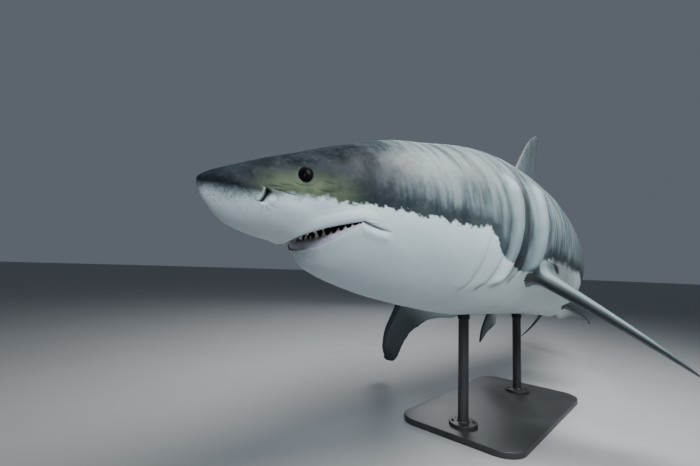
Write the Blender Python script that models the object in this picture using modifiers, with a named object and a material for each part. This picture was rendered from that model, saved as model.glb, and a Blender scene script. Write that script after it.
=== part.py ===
"""Great white shark: a still, life-size display model on a plain stand.

The head faces -Y, the shark's left side is +X and +Z is up.  The origin is the centre of the
underside of the stand's base.  Body measures are per cent of the total length unless a name
says otherwise: s runs back from the snout tip, x to the shark's left and z up from the body's
axis, which bends as a swimming shark's does.
"""

import math

import bmesh
import bpy
import numpy as np
from mathutils import Matrix, Vector

LENGTH = 4.20  # metres, snout tip to upper tail tip of the straightened body
PERCENT = LENGTH / 100
GAP = 0.0003  # metres, kept between pieces that touch
TRIM_GAP = 0.0006  # and where fins and rods meet the body's flat facets
SNOUT_HEIGHT = 0.98  # metres above the floor
BASE_SPOT = (-4.3, 39.0)  # where the stand's centre is under the body, across and back

# The swimming bend: (from s, to s, radians).  A negative turn swings the tail to -X.
TURNS = ((8, 34, -0.20), (30, 62, -0.12), (60, 95, -0.34))
DIPS = ((10, 45, -0.14), (45, 90, -0.02))
ROLL = (10, 50, -0.073)

# Body lines: station, back, belly, half breadth, level of the widest point, and the
# roundness above and below it (2 is an ellipse, less is keeled, more is boxy).
BODY_LINES = np.array(
    [
        (0.0, 0.00, 0.00, 0.00, 0.0, 2.0, 2.1),
        (0.7, 0.64, -1.57, 1.03, -0.1, 2.0, 2.1),
        (2.0, 1.20, -2.80, 2.20, -0.4, 2.0, 2.1),
        (4.0, 2.00, -3.55, 3.10, -0.8, 2.0, 2.15),
        (6.5, 2.93, -4.15, 3.86, -1.0, 2.0, 2.15),
        (7.4, 3.26, -4.75, 4.22, -1.1, 2.0, 2.15),
        (8.6, 3.70, -5.85, 4.70, -1.2, 2.0, 2.15),
        (10.5, 4.35, -6.85, 5.34, -1.3, 2.0, 2.15),
        (15.0, 5.76, -8.20, 6.67, -1.4, 2.0, 2.15),
        (20.0, 6.76, -9.20, 7.70, -1.3, 2.0, 2.15),
        (27.0, 8.10, -9.85, 8.56, -1.0, 2.0, 2.15),
        (36.0, 8.64, -9.55, 8.17, -0.6, 2.0, 2.15),
        (45.0, 8.96, -8.97, 7.47, -0.4, 2.0, 2.1),
        (56.0, 7.80, -8.40, 6.80, -0.2, 2.0, 2.1),
        (66.0, 5.60, -5.90, 4.80, 0.0, 1.95, 2.0),
        (75.0, 3.45, -3.50, 3.10, 0.0, 1.7, 1.75),
        (81.0, 2.00, -2.05, 2.55, 0.0, 1.3, 1.35),
        (86.5, 1.75, -1.80, 1.30, 0.0, 1.5, 1.5),
    ]
)
RING_POINTS = 36

# Where the body is parted, and how many rings each length has.
BODY_PARTS = (
    ("head", 0.0, 19.6, 17),
    ("gill_region", 19.6, 30.8, 5),
    ("trunk_front", 30.8, 44.0, 5),
    ("trunk_rear", 44.0, 60.0, 6),
    ("tail_root", 60.0, 74.0, 5),
    ("tail_stalk", 74.0, 86.5, 8),
)

# The mouth: the upper lip rises from the front of the arch to the corner.
MOUTH_FRONT = (6.40, -4.12)
MOUTH_CORNER = (10.35, -2.42)
LIP_RISE_POWER = 0.50
MOUTH_OPENING = 1.15
MOUTH_TAPER = 3.3  # how late the opening narrows towards its corner
CREASE = ((12.5, -3.35), (13.4, -6.0), (13.8, -11.0))
JAW_FRONT = (6.0, -11.0)
MOUTH_STEPS = 9
GUM_SHARE = 0.50  # of the opening, which the gum's height fills
GUM_THICKNESS = 0.45
GUM_CLEARANCE = 0.015  # left between gum and jaw
GUM_INSET = 0.32
UPPER_ROW_INSET = 0.16
LOWER_TEETH = 22
UPPER_TEETH = 22
LOWER_TOOTH = 0.36  # height of the tallest, and so for the upper row
UPPER_TOOTH = 0.30
TOOTH_WIDTH = 0.33
TOOTH_THICKNESS = 0.14
TOOTH_ROOT = 0.14  # how deep each tooth is set
TOOTH_ROW_END = 0.84  # share of the way from the front to the corner
GUM_END = 0.92

EYE = (6.48, 0.68)  # s and z of the eye's centre
EYE_RADIUS = 0.72
EYE_SINK = 0.50  # from the skin in to the eyeball's centre
NOSTRIL = (3.74, -1.12)
NOSTRIL_SIZE = (0.50, 0.14, 0.30)

GILL_SLITS = (21.4, 23.4, 25.0, 26.7, 29.8)
GILL_TOP = 40  # degrees up from the widest point
GILL_BOTTOM = (-48, -24)  # of the first slit and of the last, above the pectoral fin
GILL_SLANT = 1.3  # how far the slit's lower end lies ahead of its upper end
GILL_WIDTH = 0.14
GILL_DEPTH = 0.40

ROD_STATIONS = (31.0, 48.5)
ROD_RADIUS = 0.024  # metres, and so on down to BASE_BEVEL
FOOT_RADIUS = 0.065
FOOT_HEIGHT = 0.014
BASE_LENGTH = 1.05
BASE_WIDTH = 0.58
BASE_THICKNESS = 0.028
BASE_CORNER = 0.10
BASE_BEVEL = 0.004
BASE_TURN = math.radians(13.6)  # the base lies along the body above it


# ---------------------------------------------------------------- materials and collections


def make_collection(name):
    collection = bpy.data.collections.new(name)
    bpy.context.scene.collection.children.link(collection)
    return collection


def make_material(name, colour, roughness, metallic=0.0):
    material = bpy.data.materials.new(name)
    material.use_nodes = True
    shader = material.node_tree.nodes["Principled BSDF"]
    shader.inputs["Base Color"].default_value = (*colour, 1.0)
    shader.inputs["Roughness"].default_value = roughness
    shader.inputs["Metallic"].default_value = metallic
    return material


def start_scene():
    for old in list(bpy.data.objects):
        bpy.data.objects.remove(old)


# ---------------------------------------------------------------- the body's lines


def flowing_line(stations, values):
    """A cubic through the values that rises and falls only where they do."""
    x = np.asarray(stations, float)
    y = np.asarray(values, float)
    step = np.diff(x)
    rise = np.diff(y) / step
    slope = np.zeros_like(y)
    for i in range(1, len(x) - 1):
        if rise[i - 1] * rise[i] > 0:
            before = 2 * step[i] + step[i - 1]
            after = step[i] + 2 * step[i - 1]
            slope[i] = (before + after) / (before / rise[i - 1] + after / rise[i])
    slope[0] = end_slope(step[0], step[1], rise[0], rise[1])
    slope[-1] = end_slope(step[-1], step[-2], rise[-1], rise[-2])

    def at(where):
        where = np.clip(where, x[0], x[-1])
        i = np.clip(np.searchsorted(x, where, side="right") - 1, 0, len(step) - 1)
        h = step[i]
        t = (where - x[i]) / h
        first = (1 + 2 * t) * (1 - t) ** 2 * y[i] + t * (1 - t) ** 2 * h * slope[i]
        second = t * t * (3 - 2 * t) * y[i + 1] + t * t * (t - 1) * h * slope[i + 1]
        return first + second

    return at


def end_slope(step_0, step_1, rise_0, rise_1):
    slope = ((2 * step_0 + step_1) * rise_0 - step_0 * rise_1) / (step_0 + step_1)
    if slope * rise_0 <= 0:
        return 0.0
    if rise_0 * rise_1 <= 0 and abs(slope) > 3 * abs(rise_0):
        return 3 * rise_0
    return slope


LINES = [flowing_line(np.sqrt(BODY_LINES[:, 0]), column) for column in BODY_LINES[:, 1:].T]


def body_lines(s):
    """Back, belly, half breadth, widest level and the two roundnesses at station s."""
    return [line(math.sqrt(s)) for line in LINES]


def ease(low, high, x):
    t = np.clip((x - low) / (high - low), 0, 1)
    return t * t * (3 - 2 * t)


AXIS_S = np.linspace(0, 100, 401)
AXIS_YAW = sum(turn * ease(low, high, AXIS_S) for low, high, turn in TURNS)
AXIS_DIP = sum(dip * ease(low, high, AXIS_S) for low, high, dip in DIPS)
AXIS_ROLL = ROLL[2] * ease(ROLL[0], ROLL[1], AXIS_S)


def summed(direction):
    """The running integral of a direction along the axis."""
    middles = (direction[1:] + direction[:-1]) / 2
    return np.concatenate([[0], np.cumsum(middles * np.diff(AXIS_S))])


AXIS_X = summed(np.sin(AXIS_YAW) * np.cos(AXIS_DIP))
AXIS_Y = summed(np.cos(AXIS_YAW) * np.cos(AXIS_DIP))
AXIS_Z = summed(np.sin(AXIS_DIP))


def axis_frame(s):
    """The axis point at s in per cent, and its left, aft and up directions."""
    yaw, dip, roll = (np.interp(s, AXIS_S, v) for v in (AXIS_YAW, AXIS_DIP, AXIS_ROLL))
    place = Vector([float(np.interp(s, AXIS_S, v)) for v in (AXIS_X, AXIS_Y, AXIS_Z)])
    left = Vector((math.cos(yaw), -math.sin(yaw), 0))
    aft = Vector((math.sin(yaw) * math.cos(dip), math.cos(yaw) * math.cos(dip), math.sin(dip)))
    up = left.cross(aft)
    c, n = math.cos(roll), math.sin(roll)
    return place, c * left + n * up, aft, c * up - n * left


def to_world(place):
    """Per cent from the snout tip to metres in the model's frame."""
    x, y, z = place
    return Vector(
        (
            (x - BASE_SPOT[0]) * PERCENT,
            (y - BASE_SPOT[1]) * PERCENT,
            z * PERCENT + SNOUT_HEIGHT,
        )
    )


def at_body(s, x, z):
    place, left, _, up = axis_frame(s)
    return to_world(place + left * x + up * z)


def half_section(s, z):
    """How far the skin is from the midplane at station s and height z."""
    back, belly, breadth, widest, above, below = body_lines(s)
    if z >= widest:
        part, power = (z - widest) / (back - widest), above
    else:
        part, power = (widest - z) / (widest - belly), below
    return breadth * (1 - min(part, 1.0) ** power) ** (1 / power)


def section_point(s, angle, grow=0.0):
    """(x, z) on the skin at an angle up from the left side, or outside it by grow."""
    back, belly, breadth, widest, above, below = body_lines(s)
    c, n = math.cos(angle), math.sin(angle)
    power = 2 / (above if n >= 0 else below)
    reach = (back - widest) if n >= 0 else (widest - belly)
    x = (breadth + grow) * math.copysign(abs(c) ** power, c)
    z = widest + (reach + grow) * math.copysign(abs(n) ** power, n)
    return x, z


def skin_normal(s, z):
    """The outward direction of the left side's skin, in metres' space."""
    step = 0.05
    here = at_body(s, half_section(s, z), z)
    along = at_body(s + step, half_section(s + step, z), z) - here
    upward = at_body(s, half_section(s, z + step), z + step) - here
    return along.cross(upward).normalized()


# ---------------------------------------------------------------- mesh helpers


def finish_mesh(build, name, collection, material=None):
    bmesh.ops.recalc_face_normals(build, faces=build.faces)
    mesh = bpy.data.meshes.new(name)
    build.to_mesh(mesh)
    build.free()
    if material:
        mesh.materials.append(material)
    mesh.shade_smooth()
    mesh.set_sharp_from_angle(angle=math.radians(40))
    piece = bpy.data.objects.new(name, mesh)
    collection.objects.link(piece)
    return piece


def as_cutter(piece):
    piece.hide_render = True
    piece.display_type = "WIRE"
    return piece


def loft(build, rings):
    """Skins closed rings of equal count.  A ring of one point is an apex."""
    loops = [[build.verts.new(point) for point in ring] for ring in rings]
    for one, two in zip(loops, loops[1:]):
        count = max(len(one), len(two))
        for i in range(count):
            j = (i + 1) % count
            if len(one) == 1:
                build.faces.new((one[0], two[i], two[j]))
            elif len(two) == 1:
                build.faces.new((one[i], two[0], one[j]))
            else:
                build.faces.new((one[i], two[i], two[j], one[j]))
    for end in (loops[0], loops[-1]):
        if len(end) > 2:
            build.faces.new(end)


def boolean(piece, other, operation="DIFFERENCE"):
    modifier = piece.modifiers.new(operation.title(), "BOOLEAN")
    modifier.operation = operation
    modifier.object = other
    modifier.solver = "EXACT"


def fix_in_place(piece):
    """Replaces the object's mesh by its evaluated one, with no modifiers left."""
    graph = bpy.context.evaluated_depsgraph_get()
    mesh = bpy.data.meshes.new_from_object(piece.evaluated_get(graph))
    piece.modifiers.clear()
    piece.data = mesh


# ---------------------------------------------------------------- body


def body_ring(s, grow=0.0, shift=0.0):
    """One cross-section of the body, moved aft by shift metres."""
    aft = axis_frame(s)[2]
    ring = []
    for i in range(RING_POINTS):
        x, z = section_point(s, 2 * math.pi * i / RING_POINTS, grow / PERCENT)
        ring.append(at_body(s, x, z) + aft * shift)
    return ring


def part_stations(start, end, count):
    """Even spacing along the body, but closer and closer towards the snout tip."""
    steps = [i / count for i in range(count + 1)]
    if start == 0:
        return [end * (0.35 * t + 0.65 * t * t) if t > 0.1 else end * 2.2 * t * t for t in steps]
    return [start + (end - start) * t for t in steps]


def body_piece(name, start, end, count, collection, material):
    stations = part_stations(start, end, count)
    rings = [body_ring(s) for s in stations[1:-1]]
    rings.insert(0, [at_body(0, 0, 0)] if start == 0 else body_ring(start, shift=GAP / 2))
    rings.append(body_ring(end, shift=-GAP / 2))
    build = bmesh.new()
    loft(build, rings)
    return finish_mesh(build, name, collection, material)


def body_cutter(collection):
    """The whole body, larger by the gap, which trims the fins and the rods."""
    rings = [[at_body(0, 0, 0)]]
    for _, start, end, count in BODY_PARTS:
        rings += [body_ring(s, grow=TRIM_GAP) for s in part_stations(start, end, count)[1:]]
    build = bmesh.new()
    loft(build, rings)
    return as_cutter(finish_mesh(build, "body_cutter", collection))


# ---------------------------------------------------------------- mouth


def lip_line(lower=0.0):
    """The upper lip's edge from front to corner, or lower by a share of the opening."""
    line = []
    for i in range(MOUTH_STEPS + 1):
        t = (i / MOUTH_STEPS) ** 1.5
        s = MOUTH_FRONT[0] + t * (MOUTH_CORNER[0] - MOUTH_FRONT[0])
        z = MOUTH_FRONT[1] + t**LIP_RISE_POWER * (MOUTH_CORNER[1] - MOUTH_FRONT[1])
        line.append((s, z - lower * MOUTH_OPENING * (1 - t**MOUTH_TAPER)))
    return line


def lip_height(s, lower=0.0):
    line = lip_line(lower)
    return float(np.interp(s, [p[0] for p in line], [p[1] for p in line]))


def across_prism(name, outline, collection, shrink=0.0):
    """A prism through the head from side to side, from an outline of (s, z)."""
    half_width = Vector((12 * PERCENT, 0, 0))
    ahead = Vector((0, -shrink, -shrink))
    left = [at_body(s, 0, z) + ahead + half_width for s, z in outline]
    right = [at_body(s, 0, z) + ahead - half_width for s, z in outline]
    build = bmesh.new()
    loft(build, [left, right])
    bmesh.ops.triangulate(build, faces=[f for f in build.faces if len(f.verts) > 4])
    return as_cutter(finish_mesh(build, name, collection))


def arch_point(t, inset, lower):
    """A point on the tooth row: t runs from -1 at the right corner to 1 at the left."""
    s = MOUTH_FRONT[0] + 0.28 + inset * 0.6 + (MOUTH_CORNER[0] - MOUTH_FRONT[0] - 0.6) * t * t
    z = lip_height(s, lower)
    corner_reach = half_section(MOUTH_CORNER[0] - 0.4, MOUTH_CORNER[1])
    x = (corner_reach - inset) * t
    return s, x, z


def gum(collection, material):
    """The bar of gum that stands on the lower jaw's edge and holds the teeth."""
    build = bmesh.new()
    rings = []
    steps = 22
    for i in range(steps + 1):
        t = GUM_END * (2 * i / steps - 1)
        ring = []
        for inward, share in ((0, 0), (0.03, GUM_SHARE), (GUM_THICKNESS, GUM_SHARE), (GUM_THICKNESS, 0)):
            s, x, z = arch_point(t, GUM_INSET + inward, 1.0)
            rise = share * (lip_height(s) - z)
            ring.append(at_body(s, x, z + GUM_CLEARANCE + rise))
        rings.append(ring)
    loft(build, rings)
    return finish_mesh(build, "lower_teeth", collection, material)


def tooth(build, base, tip, width_way, width, thickness):
    """A flat pointed blade from base to tip."""
    rise = (tip - base).normalized()
    wide = (width_way - rise * width_way.dot(rise)).normalized()
    thin = rise.cross(wide)
    ring = [
        base + wide * width / 2,
        base + thin * thickness / 2,
        base - wide * width / 2,
        base - thin * thickness / 2,
    ]
    loft(build, [ring, [tip]])


def tooth_row(name, count, lower, inset, height, collection):
    """All the teeth of one jaw, which are then joined to the gum or to the upper jaw."""
    build = bmesh.new()
    for i in range(count):
        t = TOOTH_ROW_END * (2 * i / (count - 1) - 1)
        scale = 1 - 0.5 * t * t
        s, x, z = arch_point(t, inset, lower)
        beside = at_body(*arch_point(t + 0.02, inset, lower)) - at_body(s, x, z)
        gum_top = GUM_SHARE * (lip_height(s) - z) if lower else 0.0
        foot = z + gum_top - math.copysign(TOOTH_ROOT, height)
        base = at_body(s, x, foot)
        tip = at_body(s + 0.05, x, foot + (height + math.copysign(TOOTH_ROOT, height)) * scale)
        tooth(build, base, tip, beside, TOOTH_WIDTH * PERCENT * scale, TOOTH_THICKNESS * PERCENT)
    return as_cutter(finish_mesh(build, name, collection))


# ---------------------------------------------------------------- eyes, nostrils and gills


def skin_matrix(s, z, sink, side):
    """A frame on the skin, with its Z axis pointing out and X running aft."""
    outward = skin_normal(s, z)
    place = at_body(s, half_section(s, z), z) - outward * sink * PERCENT
    aft = (axis_frame(s)[2] - outward * axis_frame(s)[2].dot(outward)).normalized()
    across = outward.cross(aft)
    matrix = Matrix((aft, across, outward)).transposed().to_4x4()
    matrix.translation = place
    if side > 0:
        return matrix
    # The front of the head is straight, so its right side mirrors across the snout's plane.
    snout_x = at_body(0, 0, 0).x
    return Matrix.Translation((2 * snout_x, 0, 0)) @ Matrix.Scale(-1, 4, (1, 0, 0)) @ matrix


def ball(name, matrix, radii, divisions, collection, material=None):
    build = bmesh.new()
    bmesh.ops.create_icosphere(build, subdivisions=divisions, radius=1)
    bmesh.ops.transform(build, matrix=matrix @ Matrix.Diagonal((*radii, 1)), verts=build.verts)
    return finish_mesh(build, name, collection, material)


def gill_cutters(side, collection):
    """Five thin curved wedges that open the gill slits of one side."""
    build = bmesh.new()
    steps = 7
    bottoms = np.linspace(*GILL_BOTTOM, len(GILL_SLITS))
    for slit, bottom in zip(GILL_SLITS, bottoms):
        rings = []
        for i in range(steps + 1):
            t = i / steps
            angle = math.radians(GILL_TOP + (bottom - GILL_TOP) * t)
            s = slit - GILL_SLANT * t * t
            deep = GILL_DEPTH * math.sin(math.pi * (0.1 + 0.8 * t))
            ring = []
            for grow, offset in ((1.0, -1), (1.0, 1), (-deep, 1.6), (-deep, 0.6)):
                x, z = section_point(s, angle, grow)
                ring.append(at_body(s + offset * GILL_WIDTH / 2, side * x, z))
            rings.append(ring)
        loft(build, rings)
    return as_cutter(finish_mesh(build, f"gill_cutter_{side}", collection))


# ---------------------------------------------------------------- fins

# Fin outlines: (height, leading edge, trailing edge, half thickness at the thickest point).
# The median fins' heights are z and their edges s; the paired fins' are measured from the
# front of the base, out along the fin and back along the body.
FIN_POINTS = 6  # on each side of a section
EDGE_THICKNESS = 0.05  # half thickness of the trailing edge

FIRST_DORSAL = (
    (7.3, 37.8, 49.6, 0.95),
    (8.8, 39.3, 50.1, 0.80),
    (9.6, 40.4, 52.4, 0.68),
    (10.3, 41.2, 52.7, 0.62),
    (11.4, 41.7, 51.2, 0.56),
    (13.4, 42.9, 50.2, 0.44),
    (15.8, 44.5, 49.5, 0.32),
    (17.7, 46.3, 49.3, 0.20),
    (18.6, 47.9, 49.2, 0.10),
)
SECOND_DORSAL = (
    (2.6, 73.3, 75.6, 0.22),
    (4.0, 74.1, 75.6, 0.17),
    (4.5, 74.6, 77.0, 0.12),
    (5.0, 75.2, 76.5, 0.09),
    (5.5, 76.0, 76.4, 0.06),
)
ANAL = (
    (-2.4, 74.8, 77.0, 0.22),
    (-3.3, 75.3, 76.9, 0.17),
    (-3.9, 75.9, 78.4, 0.12),
    (-4.5, 76.6, 77.9, 0.09),
    (-5.2, 77.5, 77.9, 0.06),
)
TAIL_UPPER = (
    (0.05, 84.6, 90.4, 0.62),
    (1.8, 85.0, 90.5, 0.60),
    (4.0, 86.9, 91.1, 0.48),
    (7.0, 90.0, 93.0, 0.36),
    (10.0, 94.0, 95.8, 0.24),
    (12.4, 97.5, 98.5, 0.15),
    (13.1, 98.6, 99.6, 0.12),
    (14.0, 99.7, 100.0, 0.07),
)
TAIL_LOWER = (
    (-0.05, 84.6, 90.4, 0.62),
    (-1.8, 84.9, 90.7, 0.60),
    (-4.0, 86.6, 91.4, 0.48),
    (-7.0, 89.3, 92.6, 0.34),
    (-9.6, 92.0, 94.0, 0.22),
    (-11.2, 94.0, 95.0, 0.13),
    (-12.0, 95.2, 95.5, 0.07),
)
TAIL_LAG = -0.034  # the lobes' tips trail behind the tail's stroke
PECTORAL = (
    (-3.2, -1.8, 6.6, 1.00),
    (0.0, 0.3, 7.4, 0.90),
    (0.9, 1.0, 10.6, 0.84),
    (1.5, 1.5, 12.3, 0.80),
    (2.4, 2.2, 12.2, 0.74),
    (3.9, 3.4, 11.2, 0.66),
    (5.3, 4.6, 10.7, 0.58),
    (8.0, 6.7, 11.15, 0.45),
    (11.0, 8.9, 13.0, 0.31),
    (12.8, 10.8, 14.6, 0.21),
    (13.8, 12.2, 15.1, 0.14),
    (14.4, 13.6, 14.8, 0.08),
)
PELVIC = (
    (-2.0, -1.0, 4.6, 0.55),
    (0.0, 0.0, 4.9, 0.46),
    (0.9, 0.7, 6.6, 0.40),
    (1.4, 1.1, 7.2, 0.36),
    (2.3, 2.0, 7.0, 0.30),
    (3.8, 3.4, 6.6, 0.21),
    (5.2, 4.9, 6.7, 0.14),
    (6.0, 6.1, 6.9, 0.07),
)
# How a paired fin is set: base station, x and z, then in degrees the droop at its base, the
# further droop towards its tip, the sweep, the pitch at its base and the twist to its tip.
PECTORAL_LEFT = (26.9, 5.5, -3.7, 26.7, 1.2, -6.4, 2.1, 6.0)
PECTORAL_RIGHT = (27.7, -6.4, -2.5, 43.7, -10.6, -10, 38.6, 0)
PELVIC_LEFT = (53.5, 4.75, -6.1, -16, 27, 27, 14, 8)
PELVIC_RIGHT = (53.5, -4.75, -6.1, 64, 9, -35, -1, 8)


def fin_section(leading, trailing, thickness):
    """One closed section: (along, across) pairs round a blunt nose and a thin edge."""
    chord = trailing - leading
    side = []
    for i in range(1, FIN_POINTS + 1):
        t = 0.5 - 0.5 * math.cos(math.pi * i / FIN_POINTS)
        belly = 2.6 * math.sqrt(t) * (1 - t) ** 0.9 / 1.02
        side.append((leading + chord * t, max(thickness * min(belly, 1.0), EDGE_THICKNESS)))
    nose = [(leading, 0.0)]
    return nose + side + [(along, -across) for along, across in reversed(side)]


def fin_rings(outline, sections, place):
    """Sections spread evenly along the outline's rows; place maps them to the model."""
    rows = np.array(outline)
    where = np.arange(len(rows))
    lines = [flowing_line(where, rows[:, k]) for k in range(4)]
    rings = []
    for i in range(sections + 1):
        k = (len(rows) - 1) * i / sections
        height, leading, trailing, thickness = (float(line(k)) for line in lines)
        section = fin_section(leading, trailing, thickness)
        rings.append([place(height, along, across) for along, across in section])
    return rings


def median_fin(name, outline, sections, collection, material, lag=0.0):
    """A fin on the midplane, bent sideways by lag times the square of the height."""

    def place(height, along, across):
        return at_body(along, across + lag * height * height, height)

    build = bmesh.new()
    loft(build, fin_rings(outline, sections, place))
    return finish_mesh(build, name, collection, material)


def paired_fin(name, outline, sections, setting, collection, material):
    s, x, z, droop, further, sweep, pitch, twist = setting
    side = math.copysign(1, x)
    axis, left, aft, up = axis_frame(s)
    base = axis + left * x + up * z
    out = left * side
    span = outline[-1][0]
    droop, further, sweep, pitch, twist = (math.radians(a) for a in (droop, further, sweep, pitch, twist))

    def reach(height):
        """How far out and down the drooping fin gets at this height, and its droop there."""
        steps = np.linspace(0, height, 9)
        slopes = droop + further * np.clip(steps / span, 0, None)
        middle = (slopes[1:] + slopes[:-1]) / 2
        step = height / 8
        return float(np.cos(middle).sum()) * step, float(np.sin(middle).sum()) * step, float(slopes[-1])

    def place(height, along, across):
        outward = height * math.cos(sweep) - along * math.sin(sweep)
        back = height * math.sin(sweep) + along * math.cos(sweep)
        tilt = pitch + twist * min(max(outward / span, 0), 1.3)
        aftward = back * math.cos(tilt) + across * math.sin(tilt)
        lift = across * math.cos(tilt) - back * math.sin(tilt)
        far, down, slope = reach(outward)
        face = out * math.sin(slope) + up * math.cos(slope)
        return to_world(base + out * far - up * down + aft * aftward + face * lift)

    build = bmesh.new()
    loft(build, fin_rings(outline, sections, place))
    return finish_mesh(build, name, collection, material)


# ---------------------------------------------------------------- stand


def rod_foot_profile(top):
    return (
        (0.0, top),
        (ROD_RADIUS, top),
        (ROD_RADIUS, BASE_THICKNESS + GAP + FOOT_HEIGHT * 1.6),
        (ROD_RADIUS + 0.006, BASE_THICKNESS + GAP + FOOT_HEIGHT),
        (FOOT_RADIUS - 0.003, BASE_THICKNESS + GAP + FOOT_HEIGHT),
        (FOOT_RADIUS, BASE_THICKNESS + GAP + FOOT_HEIGHT - 0.003),
        (FOOT_RADIUS, BASE_THICKNESS + GAP),
        (0.0, BASE_THICKNESS + GAP),
    )


def stand_rod(name, station, cutter, collection, material):
    """A turned steel rod with a round foot, cut to the belly that it carries."""
    belly = body_lines(station)[1]
    spot = at_body(station, 0, belly)
    build = bmesh.new()
    points = [build.verts.new((r, 0, z)) for r, z in rod_foot_profile(spot.z + 0.05)]
    for one, two in zip(points, points[1:]):
        build.edges.new((one, two))
    mesh = bpy.data.meshes.new(name)
    build.to_mesh(mesh)
    build.free()
    mesh.materials.append(material)
    rod = bpy.data.objects.new(name, mesh)
    rod.location = (spot.x, spot.y, 0)
    collection.objects.link(rod)
    screw = rod.modifiers.new("Turned", "SCREW")
    screw.angle = 2 * math.pi
    screw.steps = 24
    screw.render_steps = 24
    screw.use_merge_vertices = True
    screw.merge_threshold = 0.0001
    screw.use_smooth_shade = True
    bpy.context.view_layer.update()
    boolean(rod, cutter)
    return rod


def stand_base(collection, material):
    bpy.ops.mesh.primitive_cube_add(size=1, location=(0, 0, BASE_THICKNESS / 2))
    base = bpy.context.active_object
    base.name = "stand_base"
    base.data.transform(Matrix.Diagonal((BASE_WIDTH, BASE_LENGTH, BASE_THICKNESS, 1)))
    base.rotation_euler = (0, 0, BASE_TURN)
    base.data.materials.append(material)
    build = bmesh.new()
    build.from_mesh(base.data)
    upright = [e for e in build.edges if abs((e.verts[0].co - e.verts[1].co).z) > BASE_THICKNESS / 2]
    bmesh.ops.bevel(build, geom=upright, offset=BASE_CORNER, segments=5, affect="EDGES", profile=0.5)
    build.to_mesh(base.data)
    build.free()
    bevel = base.modifiers.new("Edge", "BEVEL")
    bevel.width = BASE_BEVEL
    bevel.segments = 1
    bevel.limit_method = "ANGLE"
    for owner in list(base.users_collection):
        owner.objects.unlink(base)
    collection.objects.link(base)
    return base


# ---------------------------------------------------------------- assembly


def make_head(shark, cutters, skin, gum_flesh):
    """The head, parted into skull and lower jaw, with the mouth's opening between."""
    upper = lip_line()
    lower = lip_line(1.0)[:-1]
    back_edge = [MOUTH_CORNER, *CREASE]
    opening = across_prism("mouth_cutter", [JAW_FRONT, (JAW_FRONT[0], -4.6)] + upper + list(CREASE), cutters)
    flesh = across_prism("jaw_cutter", [JAW_FRONT, (JAW_FRONT[0], lower[0][1])] + lower + back_edge, cutters, GAP)

    name, start, end, count = BODY_PARTS[0]
    jaw = body_piece("lower_jaw", start, end, count, shark, skin)
    boolean(jaw, flesh, "INTERSECT")
    fix_in_place(jaw)

    head = body_piece(name, start, end, count, shark, skin)
    boolean(head, opening)
    upper_row = tooth_row("upper_tooth_row", UPPER_TEETH, 0.0, UPPER_ROW_INSET, -UPPER_TOOTH, cutters)
    boolean(head, upper_row, "UNION")
    for side, word in ((1, "left"), (-1, "right")):
        socket_matrix = skin_matrix(*EYE, EYE_SINK, side)
        radius = EYE_RADIUS * PERCENT
        ball(f"eye_{word}", socket_matrix, (radius,) * 3, 2, shark, bpy.data.materials["eye_black"])
        radius += GAP
        socket = as_cutter(ball(f"socket_cutter_{word}", socket_matrix, (radius,) * 3, 2, cutters))
        boolean(head, socket)
        nostril_matrix = skin_matrix(*NOSTRIL, 0.0, side) @ Matrix.Rotation(math.radians(62), 4, "Z")
        sizes = [size * PERCENT for size in NOSTRIL_SIZE]
        nostril = as_cutter(ball(f"nostril_cutter_{word}", nostril_matrix, sizes, 2, cutters))
        boolean(head, nostril)
    fix_in_place(head)

    middle = GUM_INSET + GUM_THICKNESS / 2
    lower_row = tooth_row("lower_tooth_row", LOWER_TEETH, 1.0, middle, LOWER_TOOTH, cutters)
    gums = gum(shark, gum_flesh)
    boolean(gums, lower_row, "UNION")
    fix_in_place(gums)


def build_model():
    start_scene()
    shark = make_collection("great_white_shark")
    cutters = make_collection("cutters")
    skin = make_material("skin", (0.30, 0.34, 0.35), 0.45)
    fin_skin = make_material("fin_skin", (0.27, 0.31, 0.33), 0.45)
    make_material("eye_black", (0.006, 0.007, 0.01), 0.08)
    gum_flesh = make_material("gum", (0.62, 0.50, 0.56), 0.35)
    steel = make_material("stand_steel", (0.09, 0.10, 0.11), 0.4, 0.6)

    make_head(shark, cutters, skin, gum_flesh)
    for name, start, end, count in BODY_PARTS[1:]:
        piece = body_piece(name, start, end, count, shark, skin)
        if name == "gill_region":
            for side in (1, -1):
                boolean(piece, gill_cutters(side, cutters))
            fix_in_place(piece)

    trim = body_cutter(cutters)
    fins = [
        median_fin("dorsal_fin", FIRST_DORSAL, 10, shark, fin_skin),
        median_fin("second_dorsal_fin", SECOND_DORSAL, 5, shark, fin_skin),
        median_fin("anal_fin", ANAL, 5, shark, fin_skin),
        median_fin("tail_fin_upper", TAIL_UPPER, 9, shark, fin_skin, TAIL_LAG),
        median_fin("tail_fin_lower", TAIL_LOWER, 8, shark, fin_skin, TAIL_LAG),
        paired_fin("pectoral_fin_left", PECTORAL, 12, PECTORAL_LEFT, shark, fin_skin),
        paired_fin("pectoral_fin_right", PECTORAL, 12, PECTORAL_RIGHT, shark, fin_skin),
        paired_fin("pelvic_fin_left", PELVIC, 7, PELVIC_LEFT, shark, fin_skin),
        paired_fin("pelvic_fin_right", PELVIC, 7, PELVIC_RIGHT, shark, fin_skin),
    ]
    for fin in fins:
        boolean(fin, trim)
        fix_in_place(fin)

    stand_base(shark, steel)
    for word, station in zip(("front", "rear"), ROD_STATIONS):
        stand_rod(f"stand_rod_{word}", station, trim, shark, steel)


build_model()
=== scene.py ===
"""A great white shark, life size, as a still painted model on a plain steel stand.

Its head faces -Y, its left side is +X and +Z is up.  The sections follow the way such a model is
put together: the stand, the sculpted body with its gills, mouth, nostrils and eye sockets, the
fins joined to it, the paint, the teeth and eyeballs set in, and last the room it is shown in.
"""

import math

import bmesh
import bpy
import numpy as np
from mathutils import Matrix, Vector
from mathutils.kdtree import KDTree


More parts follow.
